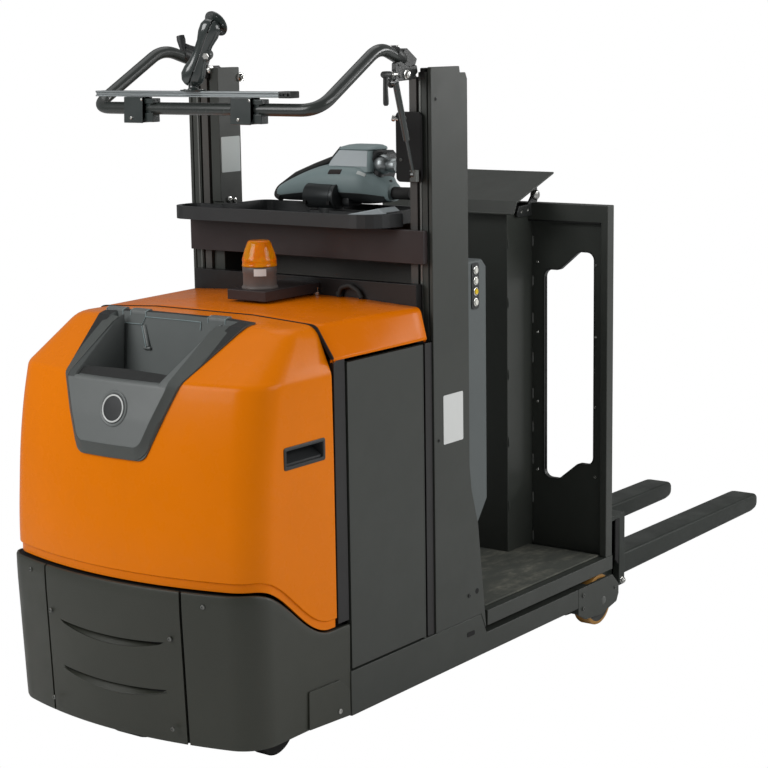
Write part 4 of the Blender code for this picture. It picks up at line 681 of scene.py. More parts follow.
# Each row is height, nose x, half width, corner radius and bow of the front
HOOD_ROWS = (
    (0.3, NOSE_X + 0.011, HALF - 0.003, 0.09, 0.069),
    (0.56, NOSE_X + 0.014, HALF - 0.003, 0.09, 0.068),
    (0.74, NOSE_X + 0.032, HALF - 0.003, 0.09, 0.063),
    (0.85, NOSE_X + 0.053, HALF - 0.004, 0.09, 0.058),
    (SHOULDER_Z, NOSE_X + 0.076, HALF - 0.005, 0.09, 0.055),
    (LID_EDGE_Z, NOSE_X + 0.245, HALF - 0.05, 0.055, 0.03),
    (LID_CROWN_Z, NOSE_X + 0.285, (HALF - 0.05) * 0.45, 0.03, 0.012))
HOOD_BENDS = (0.001, 0.001, 0.08, 0.07, 0.05, 0.01, 0.03)
SKIRT_ROWS = (
    (SKIRT_BOTTOM_Z, NOSE_X + 0.014, HALF - 0.004, 0.09, 0.069),
    (WAIST_FRONT_Z - 0.05, NOSE_X, HALF, 0.092, 0.069),
    (WAIST_FRONT_Z + 0.04, NOSE_X, HALF, 0.092, 0.069))


def half_plan(row, rear, inset=0, first_y=0):
    """Half of the plan outline at a row's height, from first_y on the front round the corner to the rear."""
    level, nose, half, corner, bow = row
    nose, half, corner = nose + inset, half - inset, corner - inset
    start = half - corner
    for _ in range(6):
        lean = math.atan(2 * bow * start / half ** 2)
        start = half - corner * (1 - math.sin(lean))
    points = []
    for step in range(FRONT_STEPS):
        y = first_y + (start - first_y) * step / FRONT_STEPS
        points.append(Vector((nose + bow * (y / half) ** 2, y, level)))
    centre_x = nose + bow * (start / half) ** 2 + corner * math.cos(lean)
    centre_y = start - corner * math.sin(lean)
    for step in range(CORNER_STEPS + 1):
        turn = lean + (math.pi / 2 - lean) * step / CORNER_STEPS
        points.append(Vector((centre_x - corner * math.cos(turn), centre_y + corner * math.sin(turn), level)))
    for step in range(1, SIDE_STEPS + 1):
        points.append(Vector((centre_x + (rear - centre_x) * step / SIDE_STEPS, half, level)))
    return points


def mirrored(half):
    """A whole row out of its far half."""
    return mirror(half[1:]) + half


def waist(x):
    """Height of the line where the hood meets the skirt."""
    share = min(max((x - WAIST_FRONT_X) / (WAIST_REAR_X - WAIST_FRONT_X), 0), 1)
    return WAIST_FRONT_Z + (WAIST_REAR_Z - WAIST_FRONT_Z) * (1 - math.cos(math.pi * share)) / 2


def between(rows, index, level):
    """The point of one column at a height, between the rows' points."""
    for lower, upper in zip(rows, rows[1:]):
        if level <= upper[index].z or upper is rows[-1]:
            return lower[index].lerp(upper[index], (level - lower[index].z) / (upper[index].z - lower[index].z))


def softened(points, bends, steps=5):
    """Round the bends of a polyline; bends says how far from each inner point the rounding starts."""
    points = [Vector(point) for point in points]
    made = [points[0]]
    for before, here, after, size in zip(points, points[1:], points[2:], bends):
        first = here + (before - here).normalized() * min(size, (before - here).length * 0.48)
        last = here + (after - here).normalized() * min(size, (after - here).length * 0.48)
        for step in range(steps + 1):
            share = step / steps
            made.append(first.lerp(here, share).lerp(here.lerp(last, share), share))
    return made + [points[-1]]


def hood():
    """The hood's sheet, from a stepped lip along the skirt up over the shoulder to the crown."""
    rear = limits("motor_hood")[1].x
    rows = [mirrored(half_plan(row, rear)) for row in HOOD_ROWS]
    inner_rows = [mirrored(half_plan(row, rear, LIP_INSET)) for row in HOOD_ROWS]
    columns = []
    for index, point in enumerate(rows[0]):
        base = waist(point.x) + PANEL_GAP / 2
        column = [between(inner_rows, index, base), between(inner_rows, index, base + LIP_HEIGHT),
            between(rows, index, base + LIP_HEIGHT + LIP_INSET * 0.6)]
        column += [row[index] for row in rows[1:]]
        columns.append(softened(column, HOOD_BENDS))
    shape = skin_rings([list(level) for level in zip(*columns)], ends=False, loop=False)
    shape.verts.ensure_lookup_table()
    count = len(columns)
    top = shape.verts[-count:]
    for index in range(count // 2):
        ring = [top[index], top[index + 1], top[count - 2 - index], top[count - 1 - index]]
        shape.faces.new(list(dict.fromkeys(ring)))
    cuts = [prism("X", bin_outline(0.0005), NOSE_X - 0.11, limits("storage_bin")[1].x + 0.001)]
    for side in (-1, 1):
        cuts.append(prism("Y", handle_outline(0), *span(side, HALF - 0.05, HALF + 0.02)))
    piece("hood", outwards(shape), ORANGE, sheet=0.006, cuts=cuts, angle=40, stands_for=("motor_hood",))


def hood_face(y, z):
    """Front of the hood's sheet at a place across and up it."""
    for lower, upper in zip(HOOD_ROWS, HOOD_ROWS[1:]):
        if z <= upper[0] or upper is HOOD_ROWS[-1]:
            share = (z - lower[0]) / (upper[0] - lower[0])
            _, nose, half, _, bow = (low + (high - low) * share for low, high in zip(lower, upper))
            return nose + bow * (y / half) ** 2


def skirt_face(y):
    """Front of the skirt at a place across it."""
    return NOSE_X + SKIRT_ROWS[1][4] * (y / HALF) ** 2


def skirt_sheet(halves):
    """A skirt panel from its rows of plan points, with a rounded top and bottom edge."""
    columns = []
    for index, point in enumerate(halves[0]):
        top = waist(point.x) - PANEL_GAP / 2
        column = []
        for step in range(SKIRT_STEPS + 1):
            column.append(between(halves, index, SKIRT_BOTTOM_Z + (top - SKIRT_BOTTOM_Z) * step / SKIRT_STEPS))
        inwards = Vector((point.x + 0.45, point.y, 0)).normalized() * -SKIRT_EDGE
        rise = Vector((0, 0, SKIRT_EDGE))
        first, last = column[0], column[-1]
        low = [first + inwards, first + inwards * 0.3 + rise * 0.3, first + rise]
        high = [last - rise, last + inwards * 0.3 - rise * 0.3, last + inwards]
        columns.append(low + column[1:-1] + high)
    return open_sheet([list(level) for level in zip(*columns)])


def skirts():
    """The three panels of the skirt."""
    rear = limits("skirt_near")[1].x
    seam = SKIRT_SEAM_Y + PANEL_GAP / 2
    far_rows = [half_plan(row, rear, 0, seam) for row in SKIRT_ROWS]
    near_rows = [mirror(row) for row in far_rows]
    front_rows = []
    for level, nose, half, _, bow in SKIRT_ROWS:
        across = [seam * (2 * step / SEAM_STEPS - 1) * 0.97 for step in range(SEAM_STEPS + 1)]
        front_rows.append([Vector((nose + bow * (y / half) ** 2, y, level)) for y in across])
    louvers = [prism("X", louver_outline(z), NOSE_X - 0.05, NOSE_X + 0.06) for z in LOUVER_Z]
    for name, rows, cuts, bevel in (("front", front_rows, louvers, 0.0015), ("near", near_rows, (), 0.0012),
            ("far", far_rows, (), 0.0012)):
        piece(f"skirt_{name}_panel", skirt_sheet(rows), CASTING, sheet=0.008, cuts=cuts, bevel=bevel, angle=40,
            stands_for=(f"skirt_{name}",))


def skirt_seams():
    """Strips of painted shadow in the hood's gap, behind the seams and as the louvers' backs; the louvers'
    lips, screws and small plates.
    """
    rear = limits("skirt_near")[1].x
    seam = SKIRT_SEAM_Y + PANEL_GAP / 2
    # Painted shadow: a dark ledge inside the gap where the hood meets the skirt.
    ledge = []
    for row, inset in ((SKIRT_ROWS[1], 0.0065), (HOOD_ROWS[0], 0.03)):
        whole = mirrored(half_plan(row, rear, inset))
        ledge.append([Vector((point.x, point.y, waist(point.x) - 0.006)) for point in whole])
    piece("hood_gap_shadow", open_sheet(ledge), SHADOW, sheet=0.003)
    # Painted shadow: dark strips behind the seams between the skirt's panels.
    for name, side in SIDES:
        rows = []
        levels = (SKIRT_BOTTOM_Z + 0.003, SKIRT_ROWS[1][0], WAIST_FRONT_Z - 0.01)
        for (_, nose, half, _, bow), z in zip(SKIRT_ROWS, levels):
            rows.append([Vector((nose + bow * (y / half) ** 2 + 0.0095, side * y, z))
                for y in (seam - 0.016, seam - 0.004, seam + 0.01)])
        piece(f"skirt_seam_{name}", open_sheet(rows), SHADOW, sheet=0.004)
    # Painted shadow: dark plates behind the louvers stand for the shade inside them.
    backs = []
    for z in LOUVER_Z:
        outline = rectangle((-LOUVER_HALF - 0.01, z - 0.03), (LOUVER_HALF + 0.01, z + 0.034), 0.01)
        backs.append(prism("X", outline, NOSE_X + 0.024, NOSE_X + 0.028))
    piece("louver_backs", joined(backs), SHADOW, bevel=0.0006)
    piece("louver_scoops", joined([louver_scoop(z) for z in LOUVER_Z]), CASTING, bevel=0.0006)
    screws = [((skirt_face(y) - 0.0005, y, z), (-1, y * 0.9, 0), 0.0055, 0.003) for y, z in SKIRT_SCREWS]
    bolts("skirt_screws", screws, BRIGHT_WORN_AND_SHEEN)
    for name, side in SIDES:
        outline = rounded(mm((-528, 99), (-368.5, 90), (-368.5, 154), (-410, 190), (-527, 193)), 0.004)
        small_plate = prism("Y", outline, *span(side, HALF - 0.004, HALF + 0.0012))
        piece(f"skirt_plate_{name}", small_plate, CASTING, bevel=0.001)
        screw = ((-0.41, side * (HALF + 0.001), 0.112), (0, side, 0), 0.0065, 0.003)
        bolts(f"skirt_plate_screw_{name}", [screw], STEEL)


def louver_outline(z):
    """A crescent across the front panel: a nearly straight top over a bowed bottom."""
    upper, lower = [], []
    for step in range(LOUVER_STEPS + 1):
        y = LOUVER_HALF * (2 * step / LOUVER_STEPS - 1)
        bend = 1 - (y / LOUVER_HALF) ** 2
        upper.append((y, z + 0.004 - 0.008 * bend))
        lower.append((y, z - 0.024 * bend))
    return upper + lower[-2:0:-1]


def louver_scoop(z):
    """The lip inside a louver that leans back from its lower edge."""
    rows = []
    for far, lift in ((0.0065, 0.0005), (0.024, 0.02)):
        row = []
        for step in range(LOUVER_STEPS + 1):
            y = LOUVER_HALF * (2 * step / LOUVER_STEPS - 1) * 0.985
            bend = 1 - (y / LOUVER_HALF) ** 2
            row.append(Vector((skirt_face(y) + far, y, z - 0.024 * bend - 0.001 + lift * bend)))
        rows.append(row)
    rows += [[point + Vector((0.001, 0, -0.002)) for point in row] for row in reversed(rows)]
    return skin_rings([list(ring) for ring in zip(*rows)])


def lid():
    """The battery compartment's lid: a crowned sheet with soft edges and turned-down sides."""
    low, high = limits("battery_lid")
    columns = []
    for step in range(LID_STEPS + 1):
        share = step / LID_STEPS
        x = low.x + (high.x - low.x) * share
        edge_half = HALF - 0.05 + 0.031 * share
        half = [Vector((x, HALF - 0.01, LID_SIDE_Z)), Vector((x, HALF, LID_SIDE_Z)),
            Vector((x, HALF, LID_SIDE_Z + 0.006)), Vector((x, edge_half, LID_EDGE_Z)),
            Vector((x, edge_half * 0.45, LID_CROWN_Z))]
        curve = softened(half, (0.0015, 0.003, 0.014))
        whole = curve + mirror(curve)
        columns.append(whole)
    # Painted shadow: a dark strip along the lid's front edge for the shade in the seam between lid and hood.
    seam_shadow = []
    for x in (low.x - 0.0038, low.x - 0.0004):
        row = []
        for point in columns[0][6:-6]:
            aside = math.copysign(0.0004, point.y) if point.z < LID_EDGE_Z - 0.002 else 0
            row.append(Vector((x, point.y + aside, point.z + 0.002)))
        seam_shadow.append(row)
    piece("lid_seam_shadow", open_sheet(seam_shadow), SHADOW, sheet=0.009)
    columns = lid_rim(columns, 1) + columns + lid_rim(columns, -1)
    piece("lid", open_sheet(columns), LID_ORANGE, sheet=0.005, angle=40, stands_for=("battery_lid",))


def lid_rim(columns, end):
    """The rounded edge and the short return at one end of the lid."""
    edge = columns[0] if end > 0 else columns[-1]
    rows = []
    for back, drop in mm((0, 10), (0, 3), (1.2, 0.8)):
        row = []
        for point in edge:
            pull = Vector((0, -math.copysign(drop * 0.4, point.y) if abs(point.y) > 0.3 else 0, -drop))
            if point.z < LID_SIDE_Z + 0.004:
                pull.z = 0
            row.append(point + pull + Vector((-end * back, 0, 0)))
        rows.append(row)
    return rows if end > 0 else rows[::-1]


def handle_outline(grow):
    """The finger cup's outline, grown by a margin."""
    length, height = HANDLE_LENGTH / 2 + grow, HANDLE_HEIGHT / 2 + grow
    return rectangle((HANDLE_X - length, HANDLE_Z - height), (HANDLE_X + length, HANDLE_Z + height),
        max(0.003 + grow, 0.002))


def handles():
    """Moulded finger cups let into the hood's sides."""
    for name, side in SIDES:
        rings = []
        for grow, depth in mm((3, 4), (3, -1.2), (1.5, -2), (-4, -2), (-5.5, -0.8), (-7, 4), (-12, 43),
                (-16, 46)):
            rings.append([(x, side * (HALF - 0.003 - depth), z) for x, z in handle_outline(grow)])
        shape = skin_rings(rings, ends=False)
        shape.verts.ensure_lookup_table()
        shape.faces.new(shape.verts[-len(rings[0]):])
        lip = prism("X", [(side * (HALF - 0.006), HANDLE_Z - 0.019), (side * (HALF - 0.006), HANDLE_Z - 0.012),
            (side * (HALF - 0.04), HANDLE_Z + 0.01), (side * (HALF - 0.04), HANDLE_Z - 0.019)],
            HANDLE_X - 0.064, HANDLE_X + 0.064)
        piece(f"hood_grip_{name}", joined([closed(shape), lip]), BLACK_PLASTIC, angle=30)


# Storage bin

def bin_half(z, inset=0, lift=0, corner=BIN_CORNER):
    """Half width of the storage bin's outline at a height, or of a line inset from its sides and its bottom."""
    above = (z - BIN_FOLD_Z) / (LID_CROWN_Z - BIN_FOLD_Z)
    half = BIN_FOLD_HALF + (BIN_TOP_HALF - BIN_FOLD_HALF) * above - inset
    if z < BIN_FOLD_Z:
        share = (z - BIN_BOTTOM_Z) / (BIN_FOLD_Z - BIN_BOTTOM_Z)
        half = BIN_BOTTOM_HALF + (BIN_FOLD_HALF - BIN_BOTTOM_HALF) * share - inset
        rise = z - BIN_BOTTOM_Z - lift
        if rise < corner:
            half -= corner - math.sqrt(max(corner ** 2 - (corner - rise) ** 2, 0))
    return half


def bin_outline(grow):
    """The storage bin's outline across and up the hood's front."""
    top_z = LID_CROWN_Z + 0.06
    half = [(BIN_BOTTOM_HALF + grow, BIN_BOTTOM_Z - grow, BIN_CORNER), (BIN_FOLD_HALF + grow, BIN_FOLD_Z, 0),
        (bin_half(top_z) + grow, top_z, 0)]
    return rounded(half + [(-y, z, r) for y, z, r in reversed(half)], 0)


def crease_half(z):
    """Half width of the line where the bin's sloping border meets its raised face."""
    if z < BIN_FOLD_Z:
        return bin_half(z, BORDER_SIDE, BORDER_LOW, 0.018)
    return bin_half(BIN_FOLD_Z, BORDER_SIDE) + 0.004 * (z - BIN_FOLD_Z) / (LID_CROWN_Z - BIN_FOLD_Z)


def bin_point(y, z, lift):
    """A point on the bin's front, lifted off the hood."""
    return Vector((hood_face(y, z) - BIN_PROUD - 0.0004 - lift, y, z))


def bin_panel():
    """The bin's front: a raised face rolled over into the pocket, inside a sloping border painted darker as
    shade.
    """
    low_z = BIN_BOTTOM_Z + BORDER_LOW
    heights = [low_z + 0.0002 + (BIN_FOLD_Z - low_z) * (step / PANEL_STEPS) ** 1.5
        for step in range(PANEL_STEPS + 1)]
    shares = [math.copysign(1 - (1 - abs(step) / PANEL_STEPS) ** 1.3, step)
        for step in range(-PANEL_STEPS, PANEL_STEPS + 1)]
    rows = [[bin_point(share * crease_half(z), z, PANEL_RISE) for share in shares] for z in heights]
    for back, rise in mm((1, 3.5), (3, 6.2), (6, 8.2), (9.5, 8.6), (13, 7), (15.5, 3), (16.5, -4), (17, -24)):
        pull = 1 - 0.13 * min(back / 0.0155, 1)
        rows.append([Vector((point.x + back, point.y * pull, point.z + rise)) for point in rows[PANEL_STEPS]])
    piece("bin_panel", open_sheet(rows), INSERT, sheet=0.0025, angle=50)
    lines = []
    for share, lift in ((0, -0.001), (0.03, 0.0015), (0.35, PANEL_RISE * 0.35), (0.9, PANEL_RISE * 0.9),
            (1, PANEL_RISE + 0.0004), (1.06, PANEL_RISE + 0.0008)):
        line = []
        for step in range(BORDER_STEPS + 1):
            top_down = 1 - step / BORDER_STEPS
            level = BORDER_TOP_Z - (BORDER_TOP_Z - BIN_BOTTOM_Z - 0.0005) * (1 - top_down ** 1.6)
            inner_level = level
            if level < BIN_FOLD_Z:
                share_up = (level - BIN_BOTTOM_Z) / (BIN_FOLD_Z - BIN_BOTTOM_Z)
                inner_level = low_z + (BIN_FOLD_Z - low_z) * share_up
            outer = (bin_half(level) - 0.0008, level)
            inner = (crease_half(inner_level), inner_level)
            y, z = (first + (last - first) * share for first, last in zip(outer, inner))
            line.append(bin_point(y, z, lift))
        bottom = line[-1]
        for step in range(1, BORDER_STEPS // 2):
            y = bottom.y * (1 - 2 * step / BORDER_STEPS)
            line.append(bin_point(y, bottom.z, lift))
        line.append(bin_point(0, bottom.z, lift))
        lines.append(line + mirror(line[:-1]))
    piece("bin_shaded_border", open_sheet(lines), BIN_SHADED_BORDER, sheet=0.002, angle=50)


def bin_badge():
    """A blank ring in a shallow dish on the bin's panel."""
    z = BADGE_Z
    face = hood_face(BADGE_Y, z) - BIN_PROUD - PANEL_RISE
    up = Vector((hood_face(BADGE_Y, z + 0.03) - hood_face(BADGE_Y, z - 0.03), 0, 0.06)).normalized()
    along = Vector((-up.z, 0, up.x))
    place = Vector((face, BADGE_Y, z))
    dish = turned(place, along, mm((42.5, -1), (42.5, 0.6), (40, 2.6), (38, 2.2), (35, 0.6), (35, -1)), 64)
    piece("bin_badge_dish", dish, INSERT, angle=60)
    disc = turned(place, along, mm((35, -0.5), (35, 1.2), (29, 2), (4, 2.6)), 64)
    piece("bin_badge_disc", disc, BLACK_PLASTIC, angle=50)
    ring = []
    for radius, height in mm((33, 1.2), (33, 3), (32, 3.8), (30.4, 3.8), (29.2, 3), (29.2, 1.2)):
        ring.append(circle(place + along * height, along, radius, 64))
    piece("bin_badge_ring", looped(ring), BADGE_WHITE, angle=50)


def bin_mouth():
    """The pocket's rounded mouth with its side walls."""
    for name, side in SIDES:
        rows = []
        for step in range(MOUTH_STEPS + 1):
            share = step / MOUTH_STEPS
            z = MOUTH_LOW_Z + (MOUTH_TOP_Z - MOUTH_LOW_Z) * share
            outer, inner = crease_half(z) + 0.001, 0.131 + 0.026 * share
            low = Vector((BIN_LOW_X[0] + (BIN_LOW_X[1] - BIN_LOW_X[0]) * share, 0.1165, BIN_FLOOR_Z + 0.003))
            lift = PANEL_RISE * (1 - 0.45 * share)
            edge = bin_point(inner, z, lift - 0.006)
            section = [bin_point(outer, z, lift - 0.003), bin_point(outer - 0.001, z, lift),
                bin_point(outer * 0.5 + inner * 0.5, z, lift + 0.0006), bin_point(inner + 0.003, z, lift),
                bin_point(inner + 0.0008, z, lift - 0.0015), edge, edge.lerp(low, 0.5), low]
            rows.append([Vector((point.x, side * point.y, point.z)) for point in section])
        # The far side wall gets the darker copy of the insert plastic as painted shade.
        piece(f"bin_mouth_{name}", open_sheet(rows), BIN_SHADED_SIDE if name == "far" else INSERT, sheet=0.002,
            angle=50)


def bin_trim():
    """Hinge tabs and folds on the pocket's rear edge, a paper clip on its back wall, and thin light rods that
    paint highlights along their edges.
    """
    rear_x = limits("storage_bin")[1].x
    tabs, edges = [], []
    for y_high, y_low, foot in BIN_TABS:
        outline = [(rear_x - 0.02, foot), (rear_x - 0.018, 1.06), (rear_x - 0.006, 1.063),
            (rear_x + 0.004, 1.063), (rear_x + 0.004, 1.056), (rear_x - 0.01, foot)]
        tabs.append(prism("Y", rounded(outline, 0.0015, 2), y_low, y_high))
        for y in (y_high - 0.001, y_low + 0.001):
            edges.append([(rear_x - 0.0205, y, foot), (rear_x - 0.019, y, 1.0595),
                (rear_x - 0.0065, y, 1.0632)])
    piece("bin_tabs", joined(tabs), INSERT, bevel=0.0012)
    wall = mm((174, 1029), (103, 1029), (97, 1047), (-30, 1047.5), (-81, 1047), (-84, 1029))
    edges.append([(rear_x - 0.0185 - BIN_WALL_SLOPE * (LID_CROWN_Z - z), y, z) for y, z in wall])
    slot = ((0.049, 1.026), (-0.019, 1.027))
    edges.append([(rear_x - 0.013 - BIN_WALL_SLOPE * (LID_CROWN_Z - z), y, z) for y, z in slot])
    # Painted highlights: thin light rods along the tabs' and the back wall's edges.
    piece("bin_edge_highlights", joined([tube(path, 0.0011, 8) for path in edges]), CONSOLE, angle=60)
    step_plate = around((rear_x, 0), (-18.5, 1048), (-25.5, 1029.5), (-10, 1029.5), (-4, 1048))
    piece("bin_steps", joined([prism("Y", step_plate, 0.103, 0.174), prism("Y", step_plate, -0.15, -0.084)]),
        INSERT, bevel=0.001)
    clip_top = Vector((rear_x - 0.026, 0.098, 1.026))
    clip_low = Vector((rear_x - 0.044, 0.071, 0.978))
    stem = rod(clip_top, clip_low, 0.0062, 0.0045, 16, 0.001)
    foot = rod(clip_low + Vector((0, 0.014, -0.003)), clip_low + Vector((0, -0.008, -0.003)), 0.0042, None, 16,
        0.001)
    piece("bin_clip", joined([stem, foot]), INSERT, bevel=0.0006)
    # Painted highlight: a thin light rod along the clip's edge.
    piece("bin_clip_highlight", tube([clip_top + Vector((-0.006, 0.003, 0)), clip_low + Vector((-0.005, 0.003, 0))],
        0.0012, 8), CONSOLE, angle=60)


# Mast and carriage

def plate(axis, low, high, span_low, span_high, radius=0.002):
    """A thin plate across an axis with rounded corners."""
    return prism(axis, rectangle(low, high, radius, 4), span_low, span_high)


def posts():
    """Label plates, screws, holes painted as shadow, and the bright strips of the mast's posts, which stand for
    wear and for a painted sheen.
    """
    piece("post_label", plate("Y", (0.041, 0.6855), (0.1295, 0.812), -HALF - 0.0008, -HALF + 0.001, 0.004),
        LABEL, bevel=0.0003)
    piece("far_post_label", plate("Y", (-0.002, 1.357), (0.074, 1.451), 0.282, 0.2835, 0.003), LABEL_GREY,
        "carriage", bevel=0.0003)
    for name, side in SIDES:
        face = side * HALF
        bolts(f"post_bolts_{name}", [((0.02, face, z), (0, side, 0), 0.0042, 0.0022) for z in (0.7, 1.555)]
            + [((0.152, face, 0.262), (0, side, 0), 0.0055, 0.003)], BLACK_METAL)
        # Painted shadow: the hole and the slot are dark plugs.
        hole = rod((0.19, side * (HALF + 0.0006), 0.266), (0.19, side * (HALF - 0.002), 0.266), 0.0075)
        slot = plate("Y", (0.141, 0.15), (0.178, 0.163), *span(side, HALF + 0.0006, HALF - 0.002), 0.005)
        piece(f"post_holes_{name}", joined([hole, slot]), SHADOW)
        # A bright metal strip on each post's front: worn metal, and also a painted sheen running down the
        # upright's face.
        inner, outer = span(side, HALF - 0.0345, HALF - 0.0295)
        strip = plate("X", (inner, 0.215), (outer, 1.61), -0.0022, 0.004)
        piece(f"post_wear_strip_{name}", strip, BRIGHT_WORN_AND_SHEEN, bevel=0.0005)
    bolts("far_post_bolts", [((0.024, 0.2832, 1.284), (0, -1, 0), 0.0085, 0.006),
        ((0.046, 0.2832, 1.281), (0, -1, 0), 0.0065, 0.005)], BRIGHT, "carriage")
    piece("upright_top_nut", nut((0.085, 0.283, 1.606), (0, -1, 0), 0.011, 0.01), BRIGHT, "carriage", angle=25)


def strut_mount():
    """The black plate's bolts, and the block at the foot of the gas strut."""
    low, high = limits("strut_plate")
    foot = limits("strut_rod")
    piece("strut_foot_block", slab((foot[1].x - 0.014, foot[1].x + 0.002), (-0.376, -0.358),
        (foot[0].z - 0.01, foot[0].z + 0.02)), GREY_EDGE, "carriage", bevel=0.002)
    bolts("strut_plate_bolts", [((STRUT_PLATE_X, -0.328, high.z - 0.016), (-1, 0, 0), 0.0042, 0.003),
        ((STRUT_PLATE_X, high.y - 0.016, low.z + 0.055), (-1, 0, 0), 0.0042, 0.003)], GREY_EDGE, "carriage")
    knob = mm((4.5, -4), (4.5, 3), (8, 4), (8, 10), (6, 12))
    piece("strut_plate_knob", turned((STRUT_PLATE_X + 0.001, high.y - 0.003, high.z - 0.018), (-0.5, 0.8, 0.2),
        knob, 24), BRIGHT, "carriage", angle=40)


# Equipment bar

def equipment_bar():
    """The bent tube with its blocks and sockets on the two yokes."""
    half = [(BAR_PIVOT_X - 0.014, BAR_Y, BAR_PIVOT_Z + 0.018), (BAR_PEAK_X, BAR_Y + 0.013, BAR_PEAK_Z),
        (BAR_CROSS_X, BAR_Y + 0.021, BAR_CROSS_Z)]
    points = [(x, -y, z) for x, y, z in half] + list(reversed(half))
    path = softened(points, (0.045, 0.055, 0.055, 0.045), 12)
    piece("bar_tube", tube(path, BAR_R, 32), BAR_BLACK, "equipment_bar", angle=60,
        stands_for=("equipment_bar",))
    x, z = BAR_PIVOT_X, BAR_PIVOT_Z
    for name, side in SIDES:
        inner, outer = span(side, BAR_Y - 0.016, BAR_Y + 0.016)
        block = rounded(around((x, z), (-38, 49), (-25, 51), (16, 25), (4, 2), (-18, -8), (-44, 22)), 0.003, 3)
        hub = rod((x, inner, z), (x, outer, z), 0.013, None, 32, 0.002)
        piece(f"bar_block_{name}", joined([prism("Y", block, inner, outer), hub]), BLACK_METAL, "equipment_bar",
            bevel=0.0015)
        piece(f"bar_socket_{name}", rod((x - 0.03, side * BAR_Y, z + 0.024),
            (x - 0.07, side * (BAR_Y + 0.005), z + 0.043), 0.0185, None, 32, 0.0025), BLACK_METAL,
            "equipment_bar", angle=40)
        bolts(f"bar_socket_bolts_{name}", [((x - 0.06, side * (BAR_Y + offset), z + 0.0555), (-0.3, 0, 0.9),
            0.0038, 0.003) for offset in (-0.006, 0.012)], BRIGHT, "equipment_bar")
    piece("yoke_pin_far", turned((x, BAR_Y - 0.0235, z), (0, -1, 0), mm((11, 0), (11, 6), (9.5, 9), (3, 10)),
        24), BRIGHT, "carriage", angle=35)


def bar_link():
    """The plate that joins the near block to the eye of the gas strut, with its bolts."""
    x, face, z = BAR_PIVOT_X, LINK_FACE_Y, BAR_PIVOT_Z
    link_plate = rounded(around((x, z), (-85, -28), (-83, 17), (-60, 20), (-30, 6), (6, 10), (10, -8),
        (-19, -25)), 0.004, 4)
    eye = rod((BAR_EYE_X, face, BAR_EYE_Z), (BAR_EYE_X, face + 0.008, BAR_EYE_Z), 0.0125, None, 24, 0.0015)
    web = prism("Y", [(x - 0.085, z + 0.002), (x - 0.085, z - 0.028), (BAR_EYE_X, BAR_EYE_Z - 0.012),
        (BAR_EYE_X - 0.002, BAR_EYE_Z + 0.012)], face + 0.001, face + 0.007)
    piece("bar_link", joined([prism("Y", link_plate, face, face + 0.012), eye, web]), BLACK_METAL,
        "equipment_bar", bevel=0.0015)
    big = mm((12, 0), (12, 2), (9.2, 3), (9.2, 7), (7, 9), (3, 9.5))
    piece("bar_link_bolt", turned((x - 0.037, face + 0.001, z - 0.012), (0, -1, 0), big, 24), BRIGHT,
        "equipment_bar", angle=35)
    bolts("bar_link_screws", [((x - 0.068, face, z + 0.011), (0, -1, 0), 0.0032, 0.002),
        ((x - 0.066, face, z - 0.016), (0, -1, 0), 0.0038, 0.002)], GREY_EDGE, "equipment_bar")


def bar_lever():
    """The clamp lever beside the link, and the block on the near upright."""
    x, face, level = BAR_PIVOT_X, LINK_FACE_Y, BAR_PIVOT_Z - 0.01
    pin = mm((4.5, 0), (4.5, 12), (6.5, 13), (6.5, 18), (4.5, 19), (4.5, 26))
    piece("bar_lever_pin", turned((x - 0.083, face - 0.002, level), (-1, 0, 0), pin, 24), BRIGHT,
        "equipment_bar", angle=40)
    hub = turned((x - 0.107, face - 0.002, level), (-1, 0, 0), mm((6, 0), (7.8, 3), (8.2, 18), (8, 30),
        (6.2, 33)), 24)
    top = Vector((x - 0.132, face - 0.003, level))
    lever = [top + Vector((0.004, 0, 0.004)), top + Vector((0.003, 0, -0.012)), top + Vector((0.002, 0, -0.03)),
        top + Vector((0.003, 0, -0.062)), top + Vector((0.003, 0, -0.07)), top + Vector((0.003, 0, -0.074))]
    arm = tube(lever, mm(7, 6.2, 6, 7, 6.8, 4), 20)
    piece("bar_lever", joined([hub, arm]), BLACK_METAL, "equipment_bar", angle=50)
    cap = prism("Y", rounded(mm((-2, 1603.6), (-2, 1631), (52, 1631), (52, 1603.6)), 0.003, 3), -0.3765, -0.364)
    piece("upright_top_block", cap, BLACK, "carriage", bevel=0.0015)


def rail():
    """A grooved metal rail with a dark end sleeve."""
    low, high = limits("accessory_rail")
    middle = (low.x + high.x) / 2 - 0.001
    half, top, base = 0.016, RAIL_TOP_Z, RAIL_BASE_Z
    section = [(middle - half, base), (middle + half, base), (middle + half, top), (middle + 0.005, top),
        (middle + 0.005, top - 0.004), (middle - 0.005, top - 0.004), (middle - 0.005, top),
        (middle - half, top), (middle - half, top - 0.004), (middle - half + 0.003, top - 0.0055),
        (middle - half + 0.003, base + 0.0045), (middle - half, base + 0.003)]
    piece("rail_profile", prism("Y", section, low.y + 0.03, high.y), RAIL_METAL, "equipment_bar", bevel=0.0007,
        stands_for=("accessory_rail",))
    sleeve = prism("Y", rectangle((middle - half - 0.0008, base - 0.001), (middle + half + 0.0008, top + 0.001),
        0.0025, 3), low.y, low.y + 0.036)
    holes = []
    for far in (0.007, 0.029):
        start, end = (middle - half - 0.005, low.y + far, RAIL_Z), (middle - half + 0.004, low.y + far, RAIL_Z)
        holes.append(rod(start, end, 0.0034))
    holes.append(plate("X", (low.y + 0.013, RAIL_Z - 0.003), (low.y + 0.023, RAIL_Z + 0.003),
        middle - half - 0.005, middle - half + 0.003, 0.0028))
    piece("rail_sleeve", sleeve, BLACK_METAL, "equipment_bar", bevel=0.0008, cuts=holes)


